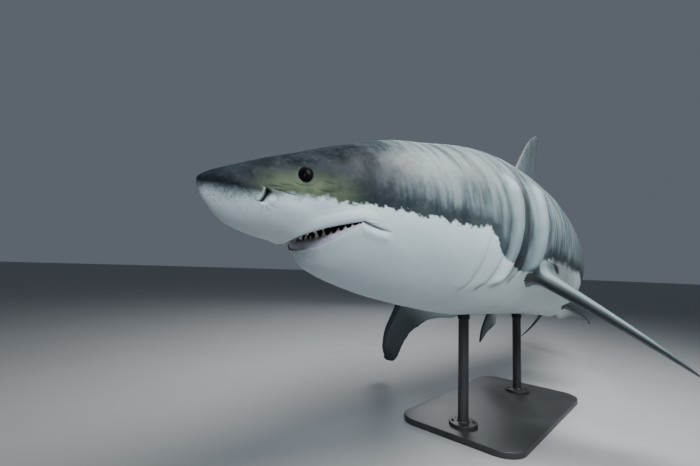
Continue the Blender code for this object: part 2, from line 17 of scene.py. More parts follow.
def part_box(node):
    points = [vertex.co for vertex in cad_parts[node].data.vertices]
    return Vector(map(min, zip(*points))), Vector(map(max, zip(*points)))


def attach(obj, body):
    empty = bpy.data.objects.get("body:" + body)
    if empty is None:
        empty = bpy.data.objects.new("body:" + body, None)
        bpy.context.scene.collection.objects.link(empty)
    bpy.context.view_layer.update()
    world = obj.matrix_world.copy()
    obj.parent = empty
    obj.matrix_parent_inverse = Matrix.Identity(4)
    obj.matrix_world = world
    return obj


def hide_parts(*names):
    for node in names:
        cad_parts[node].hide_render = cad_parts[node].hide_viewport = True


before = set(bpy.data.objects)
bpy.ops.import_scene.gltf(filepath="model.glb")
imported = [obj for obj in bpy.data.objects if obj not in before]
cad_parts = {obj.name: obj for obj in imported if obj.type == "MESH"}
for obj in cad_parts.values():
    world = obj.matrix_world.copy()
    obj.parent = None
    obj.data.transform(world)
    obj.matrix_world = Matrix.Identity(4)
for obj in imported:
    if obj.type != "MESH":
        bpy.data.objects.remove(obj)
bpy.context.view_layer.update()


# ================================================================ the stand
# A flat steel plate and two round steel rods hold the shark at swimming height.  The plate is
# cut with round corners and lightly broken edges.  Each rod is turned with a round foot, held
# down by four socket-head screws, and wears a short rubber sleeve where it enters the belly.


def new_piece(name, build, smooth_below=None):
    """Turns a finished bmesh into an object; edges flatter than the angle are shaded smooth."""
    mesh = bpy.data.meshes.new(name)
    build.to_mesh(mesh)
    build.free()
    if smooth_below:
        mesh.shade_smooth()
        mesh.set_sharp_from_angle(angle=math.radians(smooth_below))
    piece = bpy.data.objects.new(name, mesh)
    bpy.context.scene.collection.objects.link(piece)
    return piece


def fit_to_frame(piece, slot, *nodes):
    """Fixes a piece to the frame, in place of the solids that it stands for.  The slot is not used."""
    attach(piece, "root")
    if nodes:
        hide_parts(*nodes)


def shade(material, kind, links=(), **settings):
    """Adds one shader node, sets it up by name, and links others into it."""
    node = material.node_tree.nodes.new(kind)
    for key, value in settings.items():
        if hasattr(node, key):
            setattr(node, key, value)
        else:
            node.inputs[key.replace("_", " ")].default_value = value
    for socket, source in links:
        material.node_tree.links.new(source, node.inputs[socket])
    return node


def new_material(name):
    """A material with a Principled shader, and that shader."""
    material = bpy.data.materials.new(name)
    material.use_nodes = True
    return material, material.node_tree.nodes["Principled BSDF"]


def cloud(material, place, scale, detail, roughness=0.5):
    """A cloudy pattern over a piece; the larger the scale, the finer the pattern."""
    pattern = shade(
        material,
        "ShaderNodeTexNoise",
        [("Vector", place)],
        Scale=scale,
        Detail=detail,
        Roughness=roughness,
    )
    return pattern.outputs["Fac"]


def two_tones(material, value, first, second):
    """A colour that runs between two (position, colour) stops as the value rises."""
    ramp = shade(material, "ShaderNodeValToRGB", [("Fac", value)])
    for stop, (position, colour) in zip(ramp.color_ramp.elements, (first, second)):
        stop.position = position
        stop.color = (*colour, 1)
    return ramp.outputs["Color"]


def fine_relief(material, shader, pattern, strength, depth):
    """Roughens a finish by a pattern, to a depth in metres."""
    bump = shade(material, "ShaderNodeBump", [("Height", pattern)], Strength=strength, Distance=depth)
    material.node_tree.links.new(bump.outputs["Normal"], shader.inputs["Normal"])


def powder_coat():
    """Satin charcoal powder coat: a fine orange peel, with a little dust on it."""
    material, shader = new_material("stand_powder_coat")
    place = shade(material, "ShaderNodeTexCoord").outputs["Object"]
    dust = cloud(material, place, scale=6.0, detail=6.0, roughness=0.6)
    tone = two_tones(material, dust, (0.35, (0.030, 0.032, 0.035)), (0.75, (0.046, 0.049, 0.053)))
    gloss = shade(material, "ShaderNodeMapRange", [("Value", dust)], To_Min=0.36, To_Max=0.52)
    links = material.node_tree.links
    links.new(tone, shader.inputs["Base Color"])
    links.new(gloss.outputs["Result"], shader.inputs["Roughness"])
    peel = cloud(material, place, scale=900.0, detail=2.0)
    fine_relief(material, shader, peel, strength=0.15, depth=0.0006)
    shader.inputs["Metallic"].default_value = 0.35
    return material


PLATE_LENGTH = 1.05
PLATE_WIDTH = 0.58
PLATE_THICKNESS = 0.028
PLATE_CORNER = 0.10
PLATE_EDGE = 0.004
PLATE_TURN = math.radians(13.6)

steel = powder_coat()
build = bmesh.new()
bmesh.ops.create_cube(build, size=1)
bmesh.ops.scale(build, vec=(PLATE_WIDTH, PLATE_LENGTH, PLATE_THICKNESS), verts=build.verts)
corners = [e for e in build.edges if abs((e.verts[0].co - e.verts[1].co).z) > PLATE_THICKNESS / 2]
bmesh.ops.bevel(build, geom=corners, offset=PLATE_CORNER, segments=20, affect="EDGES", profile=0.5)
rims = [e for e in build.edges if abs((e.verts[0].co - e.verts[1].co).z) < 1e-6]
bmesh.ops.bevel(build, geom=rims, offset=PLATE_EDGE, segments=4, affect="EDGES", profile=0.5)
lift = Matrix.Translation((0, 0, PLATE_THICKNESS / 2)) @ Matrix.Rotation(PLATE_TURN, 4, "Z")
bmesh.ops.transform(build, matrix=lift, verts=build.verts)
plate = new_piece("stand_base_plate", build, 30)
plate.data.materials.append(steel)
fit_to_frame(plate, "stand_steel", "stand_base")

ROD_RADIUS = 0.024
ROD_FILLET = 0.008
FOOT_RADIUS = 0.065
FOOT_HEIGHT = 0.014
FOOT_EDGE = 0.003
SCREW_CIRCLE = 0.048
SCREW_RADIUS = 0.0065
SCREW_HEIGHT = 0.006
SCREW_EDGE = 0.001
SOCKET_DEPTH = 0.003
SOCKET_BOTTOM = 0.50 * SCREW_RADIUS
SOCKET_TOP = 0.55 * SCREW_RADIUS
SLEEVE_HEIGHT = 0.030
SLEEVE_THICKNESS = 0.004
SLEEVE_EDGE = 0.002
SLEEVE_GRIP = 0.001  # how far the sleeve's inside is within the rod


def turned(build, profile, spot, steps=64):
    """Turns a profile of (radius, height) about the upright line through the spot."""
    turn = [2 * math.pi * i / steps for i in range(steps)]
    rings = []
    for radius, height in profile:
        around = [(spot.x + radius * math.cos(a), spot.y + radius * math.sin(a)) for a in turn]
        if radius == 0:
            around = around[:1]
        rings.append([build.verts.new((x, y, height)) for x, y in around])
    for one, two in zip(rings, rings[1:]):
        for i in range(steps):
            j = (i + 1) % steps
            around = [one[i % len(one)], one[j % len(one)], two[j % len(two)], two[i % len(two)]]
            build.faces.new(list(dict.fromkeys(around)))
    bmesh.ops.recalc_face_normals(build, faces=build.faces)


def rubber():
    """Matt black rubber with a fine grain."""
    material, shader = new_material("stand_rubber")
    place = shade(material, "ShaderNodeTexCoord").outputs["Object"]
    grain = cloud(material, place, scale=400.0, detail=3.0)
    fine_relief(material, shader, grain, strength=0.2, depth=0.0008)
    shader.inputs["Base Color"].default_value = (0.012, 0.012, 0.013, 1)
    shader.inputs["Roughness"].default_value = 0.75
    return material


black_rubber = rubber()
foot = PLATE_THICKNESS + FOOT_HEIGHT
fillet = [
    (ROD_RADIUS + ROD_FILLET * (1 - math.sin(a)), foot + ROD_FILLET * (1 - math.cos(a)))
    for a in np.linspace(0, math.pi / 2, 6)
]
edge = [
    (FOOT_RADIUS - FOOT_EDGE * (1 - math.cos(a)), foot - FOOT_EDGE * (1 - math.sin(a)))
    for a in np.linspace(math.pi / 2, 0, 5)
]
underside = [(FOOT_RADIUS, PLATE_THICKNESS), (0, PLATE_THICKNESS)]
screw_top = foot + SCREW_HEIGHT
screw_profile = [
    (0, screw_top - SOCKET_DEPTH),
    (SOCKET_BOTTOM, screw_top - SOCKET_DEPTH),
    (SOCKET_TOP, screw_top),
    (SCREW_RADIUS - SCREW_EDGE, screw_top),
    (SCREW_RADIUS, screw_top - SCREW_EDGE),
    (SCREW_RADIUS, foot - SCREW_EDGE),
    (0, foot - SCREW_EDGE),
]
for word in ("front", "rear"):
    low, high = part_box(f"stand_rod_{word}")
    spot = Vector(((low.x + high.x) / 2, (low.y + high.y) / 2, 0))
    build = bmesh.new()
    shaft = [(0, high.z), (ROD_RADIUS, high.z)]
    turned(build, shaft + fillet[::-1] + edge + underside, spot)
    for i in range(4):
        angle = math.radians(45 + 90 * i)
        head = spot + Vector((math.cos(angle), math.sin(angle), 0)) * SCREW_CIRCLE
        turned(build, screw_profile, head, 24)
    rod = new_piece(f"stand_rod_{word}_turned", build, 30)
    rod.data.materials.append(steel)
    fit_to_frame(rod, "stand_steel", f"stand_rod_{word}")

    build = bmesh.new()
    inner = ROD_RADIUS - SLEEVE_GRIP
    outer = ROD_RADIUS + SLEEVE_THICKNESS
    lower_end = high.z - SLEEVE_HEIGHT
    sleeve_profile = [
        (inner, high.z),
        (outer, high.z),
        (outer, lower_end + SLEEVE_EDGE),
        (outer - SLEEVE_EDGE, lower_end),
        (inner, lower_end),
    ]
    turned(build, sleeve_profile, spot)
    sleeve = new_piece(f"stand_sleeve_{word}", build, 30)
    sleeve.data.materials.append(black_rubber)
    fit_to_frame(sleeve, "stand_steel")


# ================================================================ the body's lines
# The body is laid out as a shipwright lays out a hull: lines for the back, the belly and the
# half breadth run from snout to tail, in per cent of the length, and stand on an axis that bends
# as a swimming shark's does.  s runs back from the snout, x to its left and z up.

LENGTH = 4.20
PERCENT = LENGTH / 100
SNOUT_HEIGHT = 0.98
STAND_SPOT = (-4.3, 39.0)  # where the stand's centre is under the body, across and back

# The swimming bend: (from s, to s, radians).  A negative turn swings the tail to -X, a negative
# dip carries it down, and the roll leans the body over.
TURNS = ((8, 34, -0.20), (30, 62, -0.12), (60, 95, -0.34))
DIPS = ((10, 45, -0.14), (45, 90, -0.02))
ROLL = (10, 50, -0.073)

# Station, back, belly, half breadth, level of the widest point, and the roundness above and
# below it (2 is an ellipse, less is keeled, more is boxy).
BODY_LINES = np.array(
    [
        (0.0, 0.00, 0.00, 0.00, 0.0, 2.0, 2.1),
        (0.7, 0.64, -1.57, 1.03, -0.1, 2.0, 2.1),
        (2.0, 1.20, -2.80, 2.20, -0.4, 2.0, 2.1),
        (4.0, 2.00, -3.55, 3.10, -0.8, 2.0, 2.15),
        (6.5, 2.93, -4.15, 3.86, -1.0, 2.0, 2.15),
        (7.4, 3.26, -4.75, 4.22, -1.1, 2.0, 2.15),
        (8.6, 3.70, -5.85, 4.70, -1.2, 2.0, 2.15),
        (10.5, 4.35, -6.85, 5.34, -1.3, 2.0, 2.15),
        (15.0, 5.76, -8.20, 6.67, -1.4, 2.0, 2.15),
        (20.0, 6.76, -9.20, 7.70, -1.3, 2.0, 2.15),
        (27.0, 8.10, -9.85, 8.56, -1.0, 2.0, 2.15),
        (36.0, 8.64, -9.55, 8.17, -0.6, 2.0, 2.15),
        (45.0, 8.96, -8.97, 7.47, -0.4, 2.0, 2.1),
        (56.0, 7.80, -8.40, 6.80, -0.2, 2.0, 2.1),
        (66.0, 5.60, -5.90, 4.80, 0.0, 1.95, 2.0),
        (75.0, 3.45, -3.50, 3.10, 0.0, 1.7, 1.75),
        (81.0, 2.00, -2.05, 2.55, 0.0, 1.3, 1.35),
        (86.5, 1.75, -1.80, 1.30, 0.0, 1.5, 1.5),
        (89.0, 1.30, -1.40, 0.52, 0.0, 1.6, 1.6),
        (90.3, 0.60, -0.70, 0.12, 0.0, 1.8, 1.8),
    ]
)


def flowing_line(stations, values):
    """A cubic through the values that rises and falls only where they do."""
    x = np.asarray(stations, float)
    y = np.asarray(values, float)
    step = np.diff(x)
    rise = np.diff(y) / step
    slope = np.zeros_like(y)
    for i in range(1, len(x) - 1):
        if rise[i - 1] * rise[i] > 0:
            before = 2 * step[i] + step[i - 1]
            after = step[i] + 2 * step[i - 1]
            slope[i] = (before + after) / (before / rise[i - 1] + after / rise[i])
    slope[0] = end_slope(step[0], step[1], rise[0], rise[1])
    slope[-1] = end_slope(step[-1], step[-2], rise[-1], rise[-2])

    def at(where):
        where = np.clip(where, x[0], x[-1])
        i = np.clip(np.searchsorted(x, where, side="right") - 1, 0, len(step) - 1)
        h = step[i]
        t = (where - x[i]) / h
        first = (1 + 2 * t) * (1 - t) ** 2 * y[i] + t * (1 - t) ** 2 * h * slope[i]
        second = t * t * (3 - 2 * t) * y[i + 1] + t * t * (t - 1) * h * slope[i + 1]
        return first + second

    return at


def end_slope(step_0, step_1, rise_0, rise_1):
    """The slope at an end of a flowing line, held back so that the line doesn't overshoot."""
    slope = ((2 * step_0 + step_1) * rise_0 - step_0 * rise_1) / (step_0 + step_1)
    if slope * rise_0 <= 0:
        return 0.0
    if rise_0 * rise_1 <= 0 and abs(slope) > 3 * abs(rise_0):
        return 3 * rise_0
    return slope


LINES = [flowing_line(np.sqrt(BODY_LINES[:, 0]), column) for column in BODY_LINES[:, 1:].T]


def body_lines(s):
    """Back, belly, half breadth, widest level and the two roundnesses at stations s."""
    root = np.sqrt(np.maximum(s, 0))
    return [line(root) for line in LINES]


def ease(low, high, x):
    """Rises smoothly from 0 to 1 as x goes from low to high."""
    t = np.clip((x - low) / (high - low), 0, 1)
    return t * t * (3 - 2 * t)


AXIS_END = 102  # past the tips of the tail fin
AXIS_S = np.linspace(0, AXIS_END, 20 * AXIS_END + 1)
AXIS_YAW = sum(turn * ease(low, high, AXIS_S) for low, high, turn in TURNS)
AXIS_DIP = sum(dip * ease(low, high, AXIS_S) for low, high, dip in DIPS)
AXIS_ROLL = ROLL[2] * ease(ROLL[0], ROLL[1], AXIS_S)


def summed(direction):
    """The running integral of a direction along the axis."""
    middles = (direction[1:] + direction[:-1]) / 2
    return np.concatenate([[0], np.cumsum(middles * np.diff(AXIS_S))])


AXIS_PLACE = np.stack(
    [
        summed(np.sin(AXIS_YAW) * np.cos(AXIS_DIP)),
        summed(np.cos(AXIS_YAW) * np.cos(AXIS_DIP)),
        summed(np.sin(AXIS_DIP)),
    ],
    axis=-1,
)


def axis_frame(s):
    """The axis points at s in per cent, and their left, aft and up directions."""
    s = np.asarray(s, float)
    yaw, dip, roll = (np.interp(s, AXIS_S, v) for v in (AXIS_YAW, AXIS_DIP, AXIS_ROLL))
    place = np.stack([np.interp(s, AXIS_S, AXIS_PLACE[:, k]) for k in range(3)], axis=-1)
    left = np.stack([np.cos(yaw), -np.sin(yaw), np.zeros_like(yaw)], axis=-1)
    aft = np.stack([np.sin(yaw) * np.cos(dip), np.cos(yaw) * np.cos(dip), np.sin(dip)], axis=-1)
    up = np.cross(left, aft)
    c, n = np.cos(roll)[..., None], np.sin(roll)[..., None]
    return place, c * left + n * up, aft, c * up - n * left


def to_world(place):
    """Per cent from the snout tip to metres in the model's frame."""
    return (place - np.array([*STAND_SPOT, 0])) * PERCENT + np.array([0, 0, SNOUT_HEIGHT])


def at_body(s, x, z):
    """The place in the model's frame that is x to the left of the axis at s, and z above it."""
    place, left, _, up = axis_frame(s)
    x = np.asarray(x, float)[..., None]
    z = np.asarray(z, float)[..., None]
    return to_world(place + left * x + up * z)


def section_point(s, angle):
    """(x, z) on the skin at an angle in radians up from the left side."""
    back, belly, breadth, widest, above, below = body_lines(s)
    c, n = np.cos(angle), np.sin(angle)
    power = 2 / np.where(n >= 0, above, below)
    reach = np.where(n >= 0, back - widest, widest - belly)
    x = breadth * np.sign(c) * np.abs(c) ** power
    z = widest + reach * np.sign(n) * np.abs(n) ** power
    return x, z


def half_section(s, z):
    """How far the skin is from the midplane at stations s and heights z."""
    back, belly, breadth, widest, above, below = body_lines(s)
    high = z >= widest
    part = np.where(high, (z - widest) / (back - widest), (widest - z) / (widest - belly))
    power = np.where(high, above, below)
    return breadth * (1 - np.clip(part, 0, 1) ** power) ** (1 / power)


POINTS_AT_ONCE = 20000


def body_place(points):
    """The (s, x, z) of points in the model's frame."""
    q = (points - np.array([0, 0, SNOUT_HEIGHT])) / PERCENT + np.array([*STAND_SPOT, 0])
    marks = np.arange(0, 101, 1.0)
    spots = axis_frame(marks)[0]
    s = np.empty(len(q))
    for k in range(0, len(q), POINTS_AT_ONCE):
        part = q[k : k + POINTS_AT_ONCE]
        away = ((part[:, None, :] - spots[None]) ** 2).sum(-1)
        s[k : k + POINTS_AT_ONCE] = marks[away.argmin(1)]
    for _ in range(8):  # each step slides s closer to where the point is square to the axis
        place, _, aft, _ = axis_frame(s)
        s = np.clip(s + ((q - place) * aft).sum(-1), 0, AXIS_END)
    place, left, _, up = axis_frame(s)
    return s, ((q - place) * left).sum(-1), ((q - place) * up).sum(-1)


# ================================================================ the skin of the body
# The skin is sculpted as one sheet of rings and lengthwise strips.  The rings are close where
# there is fine work, at the snout, mouth and gills, and bend to follow the mouth and the slits.
# The sheet is slit along the mouth, and its two edges are the lips.

MOUTH_FRONT = (6.40, -4.12)  # s and z
MOUTH_CORNER = (10.35, -2.42)
LIP_RISE_POWER = 0.50  # how steeply the upper lip rises behind its front
MOUTH_OPENING = 1.15
LIP_CLOSING_POWER = 2.4  # how late the opening narrows towards its corner
MOUTH_RING = 8.4  # the ring along which the sheet is slit
MOUTH_BEND = (2.6, 15.8)  # the rings between these stations bend towards the mouth
BEND_FADE = 36  # degrees above the mouth's corner, where they run straight again

GILL_SLITS = (21.4, 23.4, 25.0, 26.7, 29.8)
GILL_TOP = 40  # degrees up from the widest point
GILL_BOTTOM = (-48, -24)  # of the first slit and of the last
GILL_SLANT = 1.3  # how far forward each slit's lower end is drawn
SLANT_STARTS = (16, 20.5)  # the rings take on the slits' slant between these stations
SLANT_ENDS = (30.3, 35)  # and lose it between these

RING_GAP = 0.10  # between rings, at most, from the head to the gills
REAR_GAP = 0.12  # how much more there is behind them
FINEST_GAP = 0.022
STRIP_GAP = 0.72  # between strips, at most, in degrees


def spaced(low, high, spacing):
    """Stations from low to high whose spacing follows the function."""
    fine = np.linspace(low, high, 4001)
    count = np.concatenate([[0], np.cumsum(np.diff(fine) / spacing((fine[1:] + fine[:-1]) / 2))])
    total = max(int(round(count[-1])), 1)
    return np.interp(np.linspace(0, count[-1], total + 1), count, fine)


def hump(x, centre, width):
    """A smooth bump, 1 high at its centre."""
    return np.exp(-(((x - centre) / width) ** 2))


def ring_spacing(s):
    """How far apart the rings are: closest at the snout, the eye, the mouth and the slits."""
    gap = RING_GAP + REAR_GAP * ease(30.5, 34, s)
    gap = gap - 0.045 * ease(2.6, 3.2, s) * (1 - ease(7.2, 7.8, s))
    gap = gap - 0.060 * hump(s, MOUTH_RING, 1.0)
    for slit in GILL_SLITS:
        gap = gap - 0.075 * hump(s, slit, 0.32)
    return np.maximum(gap, FINEST_GAP) * np.minimum(1, 0.25 + s)


def strip_spacing(a):
    """How many degrees apart the strips are: closest beside the mouth's corner and the eye."""
    return STRIP_GAP - 0.42 * hump(a, -14, 9) - 0.22 * hump(a, 24, 12)


def lip_line(s, lower=0.0):
    """The height of the upper lip's edge at s, or below it by a share of the opening."""
    t = np.clip((s - MOUTH_FRONT[0]) / (MOUTH_CORNER[0] - MOUTH_FRONT[0]), 0, 1)
    z = MOUTH_FRONT[1] + t**LIP_RISE_POWER * (MOUTH_CORNER[1] - MOUTH_FRONT[1])
    return z - lower * MOUTH_OPENING * (1 - t**LIP_CLOSING_POWER)


def angle_down(s, z):
    """The angle in degrees, below the widest point, at which the skin is at the height z."""
    _, belly, _, widest, _, roundness = body_lines(s)
    share = np.clip((widest - z) / (widest - belly), 0, 1)
    return -np.degrees(np.arcsin(share ** (roundness / 2)))


def lip_stations(angles, lower):
    """Where the lip's edge crosses each lengthwise strip (angles in degrees)."""
    s = np.linspace(MOUTH_FRONT[0], MOUTH_CORNER[0], 1200)
    edge = angle_down(s, lip_line(s, lower))
    on_skin = edge > -90
    return np.interp(angles, edge[on_skin], s[on_skin])


STATIONS = spaced(0, BODY_LINES[-1, 0], ring_spacing)[1:]
half = spaced(-90, 90, strip_spacing)
ANGLES = np.concatenate([half[::-1], half[1:-1]])  # down the left side, and up the right
SIDES = np.concatenate([np.ones(len(half)), -np.ones(len(half) - 2)])
mouth_row = int(np.argmin(np.abs(STATIONS - MOUTH_RING)))
CORNER_ANGLE = float(angle_down(np.array(MOUTH_CORNER[0]), MOUTH_CORNER[1]))
in_mouth = ANGLES < CORNER_ANGLE


def shifted(stations, lower):
    """The rings' true stations, bent to the lip's edge and to the slant of the gill slits."""
    s = np.repeat(stations[:, None], len(ANGLES), 1)
    fade = 1 - ease(0, BEND_FADE, ANGLES - CORNER_ANGLE)
    past_corner = MOUTH_RING + (MOUTH_CORNER[0] - MOUTH_RING) * fade
    at_lip = np.where(in_mouth, lip_stations(ANGLES, lower), past_corner)
    ahead = ease(MOUTH_BEND[0], MOUTH_RING, s)
    behind = 1 - ease(MOUTH_RING, MOUTH_BEND[1], s)
    pull = np.where(s <= MOUTH_RING, ahead, behind)
    bent = s + (at_lip - MOUTH_RING)[None] * pull
    slant = ease(*SLANT_STARTS, s) * (1 - ease(*SLANT_ENDS, s))
    return bent - GILL_SLANT * slit_depth_down(s) ** 2 * slant


def slit_depth_down(s):
    """How far down its slit each strip is: 0 at the top, 1 at the bottom."""
    bottom = np.interp(s, (GILL_SLITS[0], GILL_SLITS[-1]), GILL_BOTTOM)
    return np.clip((GILL_TOP - ANGLES[None]) / (GILL_TOP - bottom), 0, 1.25)


radians = np.radians(ANGLES)
STATIONS[mouth_row] = MOUTH_RING
front = shifted(STATIONS[: mouth_row + 1], 0.0)
rear = shifted(STATIONS[mouth_row:], 1.0)


def skin_rows(s):
    """The skin's points over rings of true stations s, and their x and z."""
    x, z = section_point(s, radians[None])
    return at_body(s, x * SIDES[None], z), x * SIDES[None], z


JAW_TUCK = 0.50  # how far the front of the lower jaw stands back under the snout
TUCK_FADE = -58  # degrees: the tuck fades from here up to the mouth's corner
TUCK_LENGTH = 2.0  # and over this length behind the lip

front_skin, front_x, front_z = skin_rows(front)
rear_skin, rear_x, rear_z = skin_rows(rear)
behind_mouth = STATIONS[mouth_row:, None] - MOUTH_RING
tuck_around = 1 - ease(TUCK_FADE, CORNER_ANGLE - 4, ANGLES)
jaw_tuck = JAW_TUCK * tuck_around[None] * (1 - ease(0, TUCK_LENGTH, behind_mouth))
rear_skin = rear_skin + axis_frame(rear)[2] * jaw_tuck[..., None] * PERCENT


def sheet_normals(sheet):
    """Outward directions over a sheet of rings."""
    around = np.roll(sheet, -1, 1) - np.roll(sheet, 1, 1)
    along = np.gradient(sheet, axis=0)
    out = np.cross(around, along)
    return out / np.maximum(np.linalg.norm(out, axis=-1, keepdims=True), 1e-12)


front_out = sheet_normals(front_skin)
rear_out = sheet_normals(rear_skin)


def sculpt(sheet, out, height, aft=None, s=None):
    """Moves a sheet's skin outward by a height and aft, both in per cent of the length."""
    moved = sheet + out * height[..., None] * PERCENT
    if aft is None:
        return moved
    return moved + axis_frame(s)[2] * aft[..., None] * PERCENT


def waves(s, around):
    """Slow unevenness of flesh over muscle, from a few crossing waves."""
    return (
        0.030 * np.sin(0.83 * s + 2.1 * np.sin(around * 1.7)) * np.sin(around * 3.1 + 0.21 * s)
        + 0.014 * np.sin(2.3 * s + 5 * around) * np.sin(7 * around - 1.1 * s)
    )


turn_about = radians[None] * np.ones_like(front)
front_skin = sculpt(front_skin, front_out, waves(front, turn_about) * ease(1, 6, front))
turn_about = radians[None] * np.ones_like(rear)
rear_skin = sculpt(rear_skin, rear_out, waves(rear, turn_about))


# ================================================================ the gill slits
# Five long slits on each side.  The skin ahead of each one swells into a loose flap whose free
# edge lies over the slit; the slit itself is deep and painted black as shade, and the flaps' lower
# ends are ragged, with painted shade in their frays.  Each swell is paler as a painted highlight,
# and the skin behind each slit is darker as painted shade.

# The flap swells from the slit before it to its own free edge: (share of the way, height).
FLAP_SWELL = (
    (0.0, 0.0),
    (0.25, 0.06),
    (0.55, 0.42),
    (0.80, 0.86),
    (0.93, 1.0),
    (0.975, 0.85),
    (1.0, 0.4),
)
# Behind the edge the skin dives under it: (distance, height, how far aft).
SLIT_DIVE = np.array(
    [
        (0.00, 0.4, 0.14),
        (0.03, -0.3, 0.06),
        (0.08, -1.0, -0.02),
        (0.16, -1.3, 0.00),
        (0.26, -1.1, 0.02),
        (0.42, -0.6, 0.00),
        (0.70, -0.2, 0.00),
        (1.00, 0.0, 0.00),
    ]
)
FIRST_FLAP = 1.7  # how far the first flap swells ahead of its slit
FLAP_HEIGHTS = (0.12, 0.20, 0.48, 0.20, 0.60)
# Paler paint over each flap's swell is a painted highlight, and darker paint behind its slit is painted
# shade.
RIDGE_HIGHLIGHTS = (0.05, 0.12, 0.75, 0.10, 0.85)  # how much paler each flap is over its swell
VALLEY_SHADES = (0.15, 0.35, 0.90, 0.60, 0.45)  # and how much darker the skin behind its slit
VALLEY_WIDTHS = (0.25, 0.30, 0.85, 0.35, 0.40)


def across_profile(profile, where):
    """The height of a profile of (distance, height) at each distance."""
    return np.interp(where, *np.transpose(profile))


nominal = STATIONS[mouth_row:, None] * np.ones_like(rear)
down = slit_depth_down(nominal)
flap_out = np.zeros_like(rear)
flap_aft = np.zeros_like(rear)
slit_shade = np.zeros_like(rear)
fold_tone = np.zeros_like(rear)
before = GILL_SLITS[0] - FIRST_FLAP
for number, (slit, high) in enumerate(zip(GILL_SLITS, FLAP_HEIGHTS)):
    ragged = 0.08 * ease(0.72, 1.0, down) * np.sin(31 * down + 2.3 * number) * np.sin(17 * down + number)
    wander = 0.05 * np.sin(9 * down + 1.7 * number) + 0.02 * np.sin(37 * down + number)
    behind_edge = nominal - slit - ragged - wander
    share = 1 + behind_edge / (slit - before)
    open_here = ease(0.0, 0.25, down) * (1 - ease(0.90, 1.02, down))
    swell = across_profile(FLAP_SWELL, share)
    dive = across_profile(SLIT_DIVE[:, :2], behind_edge)
    shift = SLIT_DIVE[0, 2] * ease(-0.30, 0.0, behind_edge)
    dive_aft = across_profile(SLIT_DIVE[:, ::2], behind_edge)
    flap_out += np.where(behind_edge < 0, swell, dive) * open_here * high
    flap_aft += np.where(behind_edge < 0, shift, dive_aft) * open_here
    # Painted shade: black in each slit and in the frays at the flaps' lower ends, and the highlight and
    # shade over each flap.
    frayed_end_shade = 0.9 * hump(down, 0.965, 0.05) * hump(behind_edge, 0.0, 0.24) * (number > 0)
    slit_shade = np.maximum(slit_shade, hump(behind_edge, 0.12, 0.10) * open_here)
    slit_shade = np.maximum(slit_shade, frayed_end_shade)
    wide = VALLEY_WIDTHS[number]
    fold_tone -= VALLEY_SHADES[number] * hump(behind_edge, wide, wide) * (behind_edge > 0) * open_here
    fold_tone += RIDGE_HIGHLIGHTS[number] * hump(share, 0.66, 0.34) * (behind_edge < 0.05) * open_here
    before = slit
rear_skin = sculpt(rear_skin, rear_out, flap_out, flap_aft, rear)


# ================================================================ the lips and the jaw's fold
# Both lips are soft rolls of skin.  A shallow furrow lies over the upper lip, and a narrow fold
# runs back and down from each corner of the mouth, where the lower jaw's skin tucks under.

FOLD_END = (12.4, -3.05)  # s and z
FOLD_SAG = 0.10
# Across the lips: (distance from the edge, height).
UPPER_LIP = (
    (0, -0.10),
    (0.05, -0.02),
    (0.14, 0.03),
    (0.32, 0.07),
    (0.62, 0.04),
    (0.95, -0.045),
    (1.3, -0.065),
    (1.9, -0.02),
    (2.6, 0),
)
UPPER_LIP_IN_FRONT = ((0, -0.10), (0.05, -0.02), (0.14, 0.02), (0.32, 0.03), (0.62, 0.015), (1.0, 0))
LOWER_LIP = ((0, -0.06), (0.05, -0.015), (0.14, 0.01), (0.34, 0.025), (0.7, 0.015), (1.2, 0))
LIPS_REACH = (4.2, 16.5)  # the rings between these stations are measured from the lips
FAR_OFF = 9.0  # stands for any distance that is too long to matter


def closest(points, line):
    """The distance from each point to the nearest of a line's points, in per cent."""
    shape = points.shape[:-1]
    flat = points.reshape(-1, 3)
    away = np.empty(len(flat))
    for k in range(0, len(flat), POINTS_AT_ONCE):
        part = flat[k : k + POINTS_AT_ONCE]
        away[k : k + POINTS_AT_ONCE] = np.sqrt(((part[:, None] - line[None]) ** 2).sum(-1).min(1))
    return away.reshape(shape) / PERCENT


upper_lip = front_skin[-1][in_mouth].copy()
lower_lip = rear_skin[0][in_mouth].copy()
fold_s = np.linspace(MOUTH_CORNER[0], FOLD_END[0], 60)
fold_z = np.linspace(MOUTH_CORNER[1], FOLD_END[1], 60)
fold_z = fold_z - FOLD_SAG * np.sin(np.linspace(0, math.pi, 60))
fold_lines = [at_body(fold_s, side * half_section(fold_s, fold_z), fold_z) for side in (1, -1)]

first = int(np.argmax(STATIONS > LIPS_REACH[0]))
from_lip = np.full(front.shape, FAR_OFF)
from_lip[first:] = closest(front_skin[first:], upper_lip)
along_lip = ease(6.3, 7.8, front)
side_roll = across_profile(UPPER_LIP, from_lip)
front_roll = across_profile(UPPER_LIP_IN_FRONT, from_lip)
front_skin = sculpt(front_skin, front_out, side_roll * along_lip + front_roll * (1 - along_lip))
# A thin line of painted shade along the upper lip's edge.
front_mouth_shade = hump(from_lip, 0, 0.10)

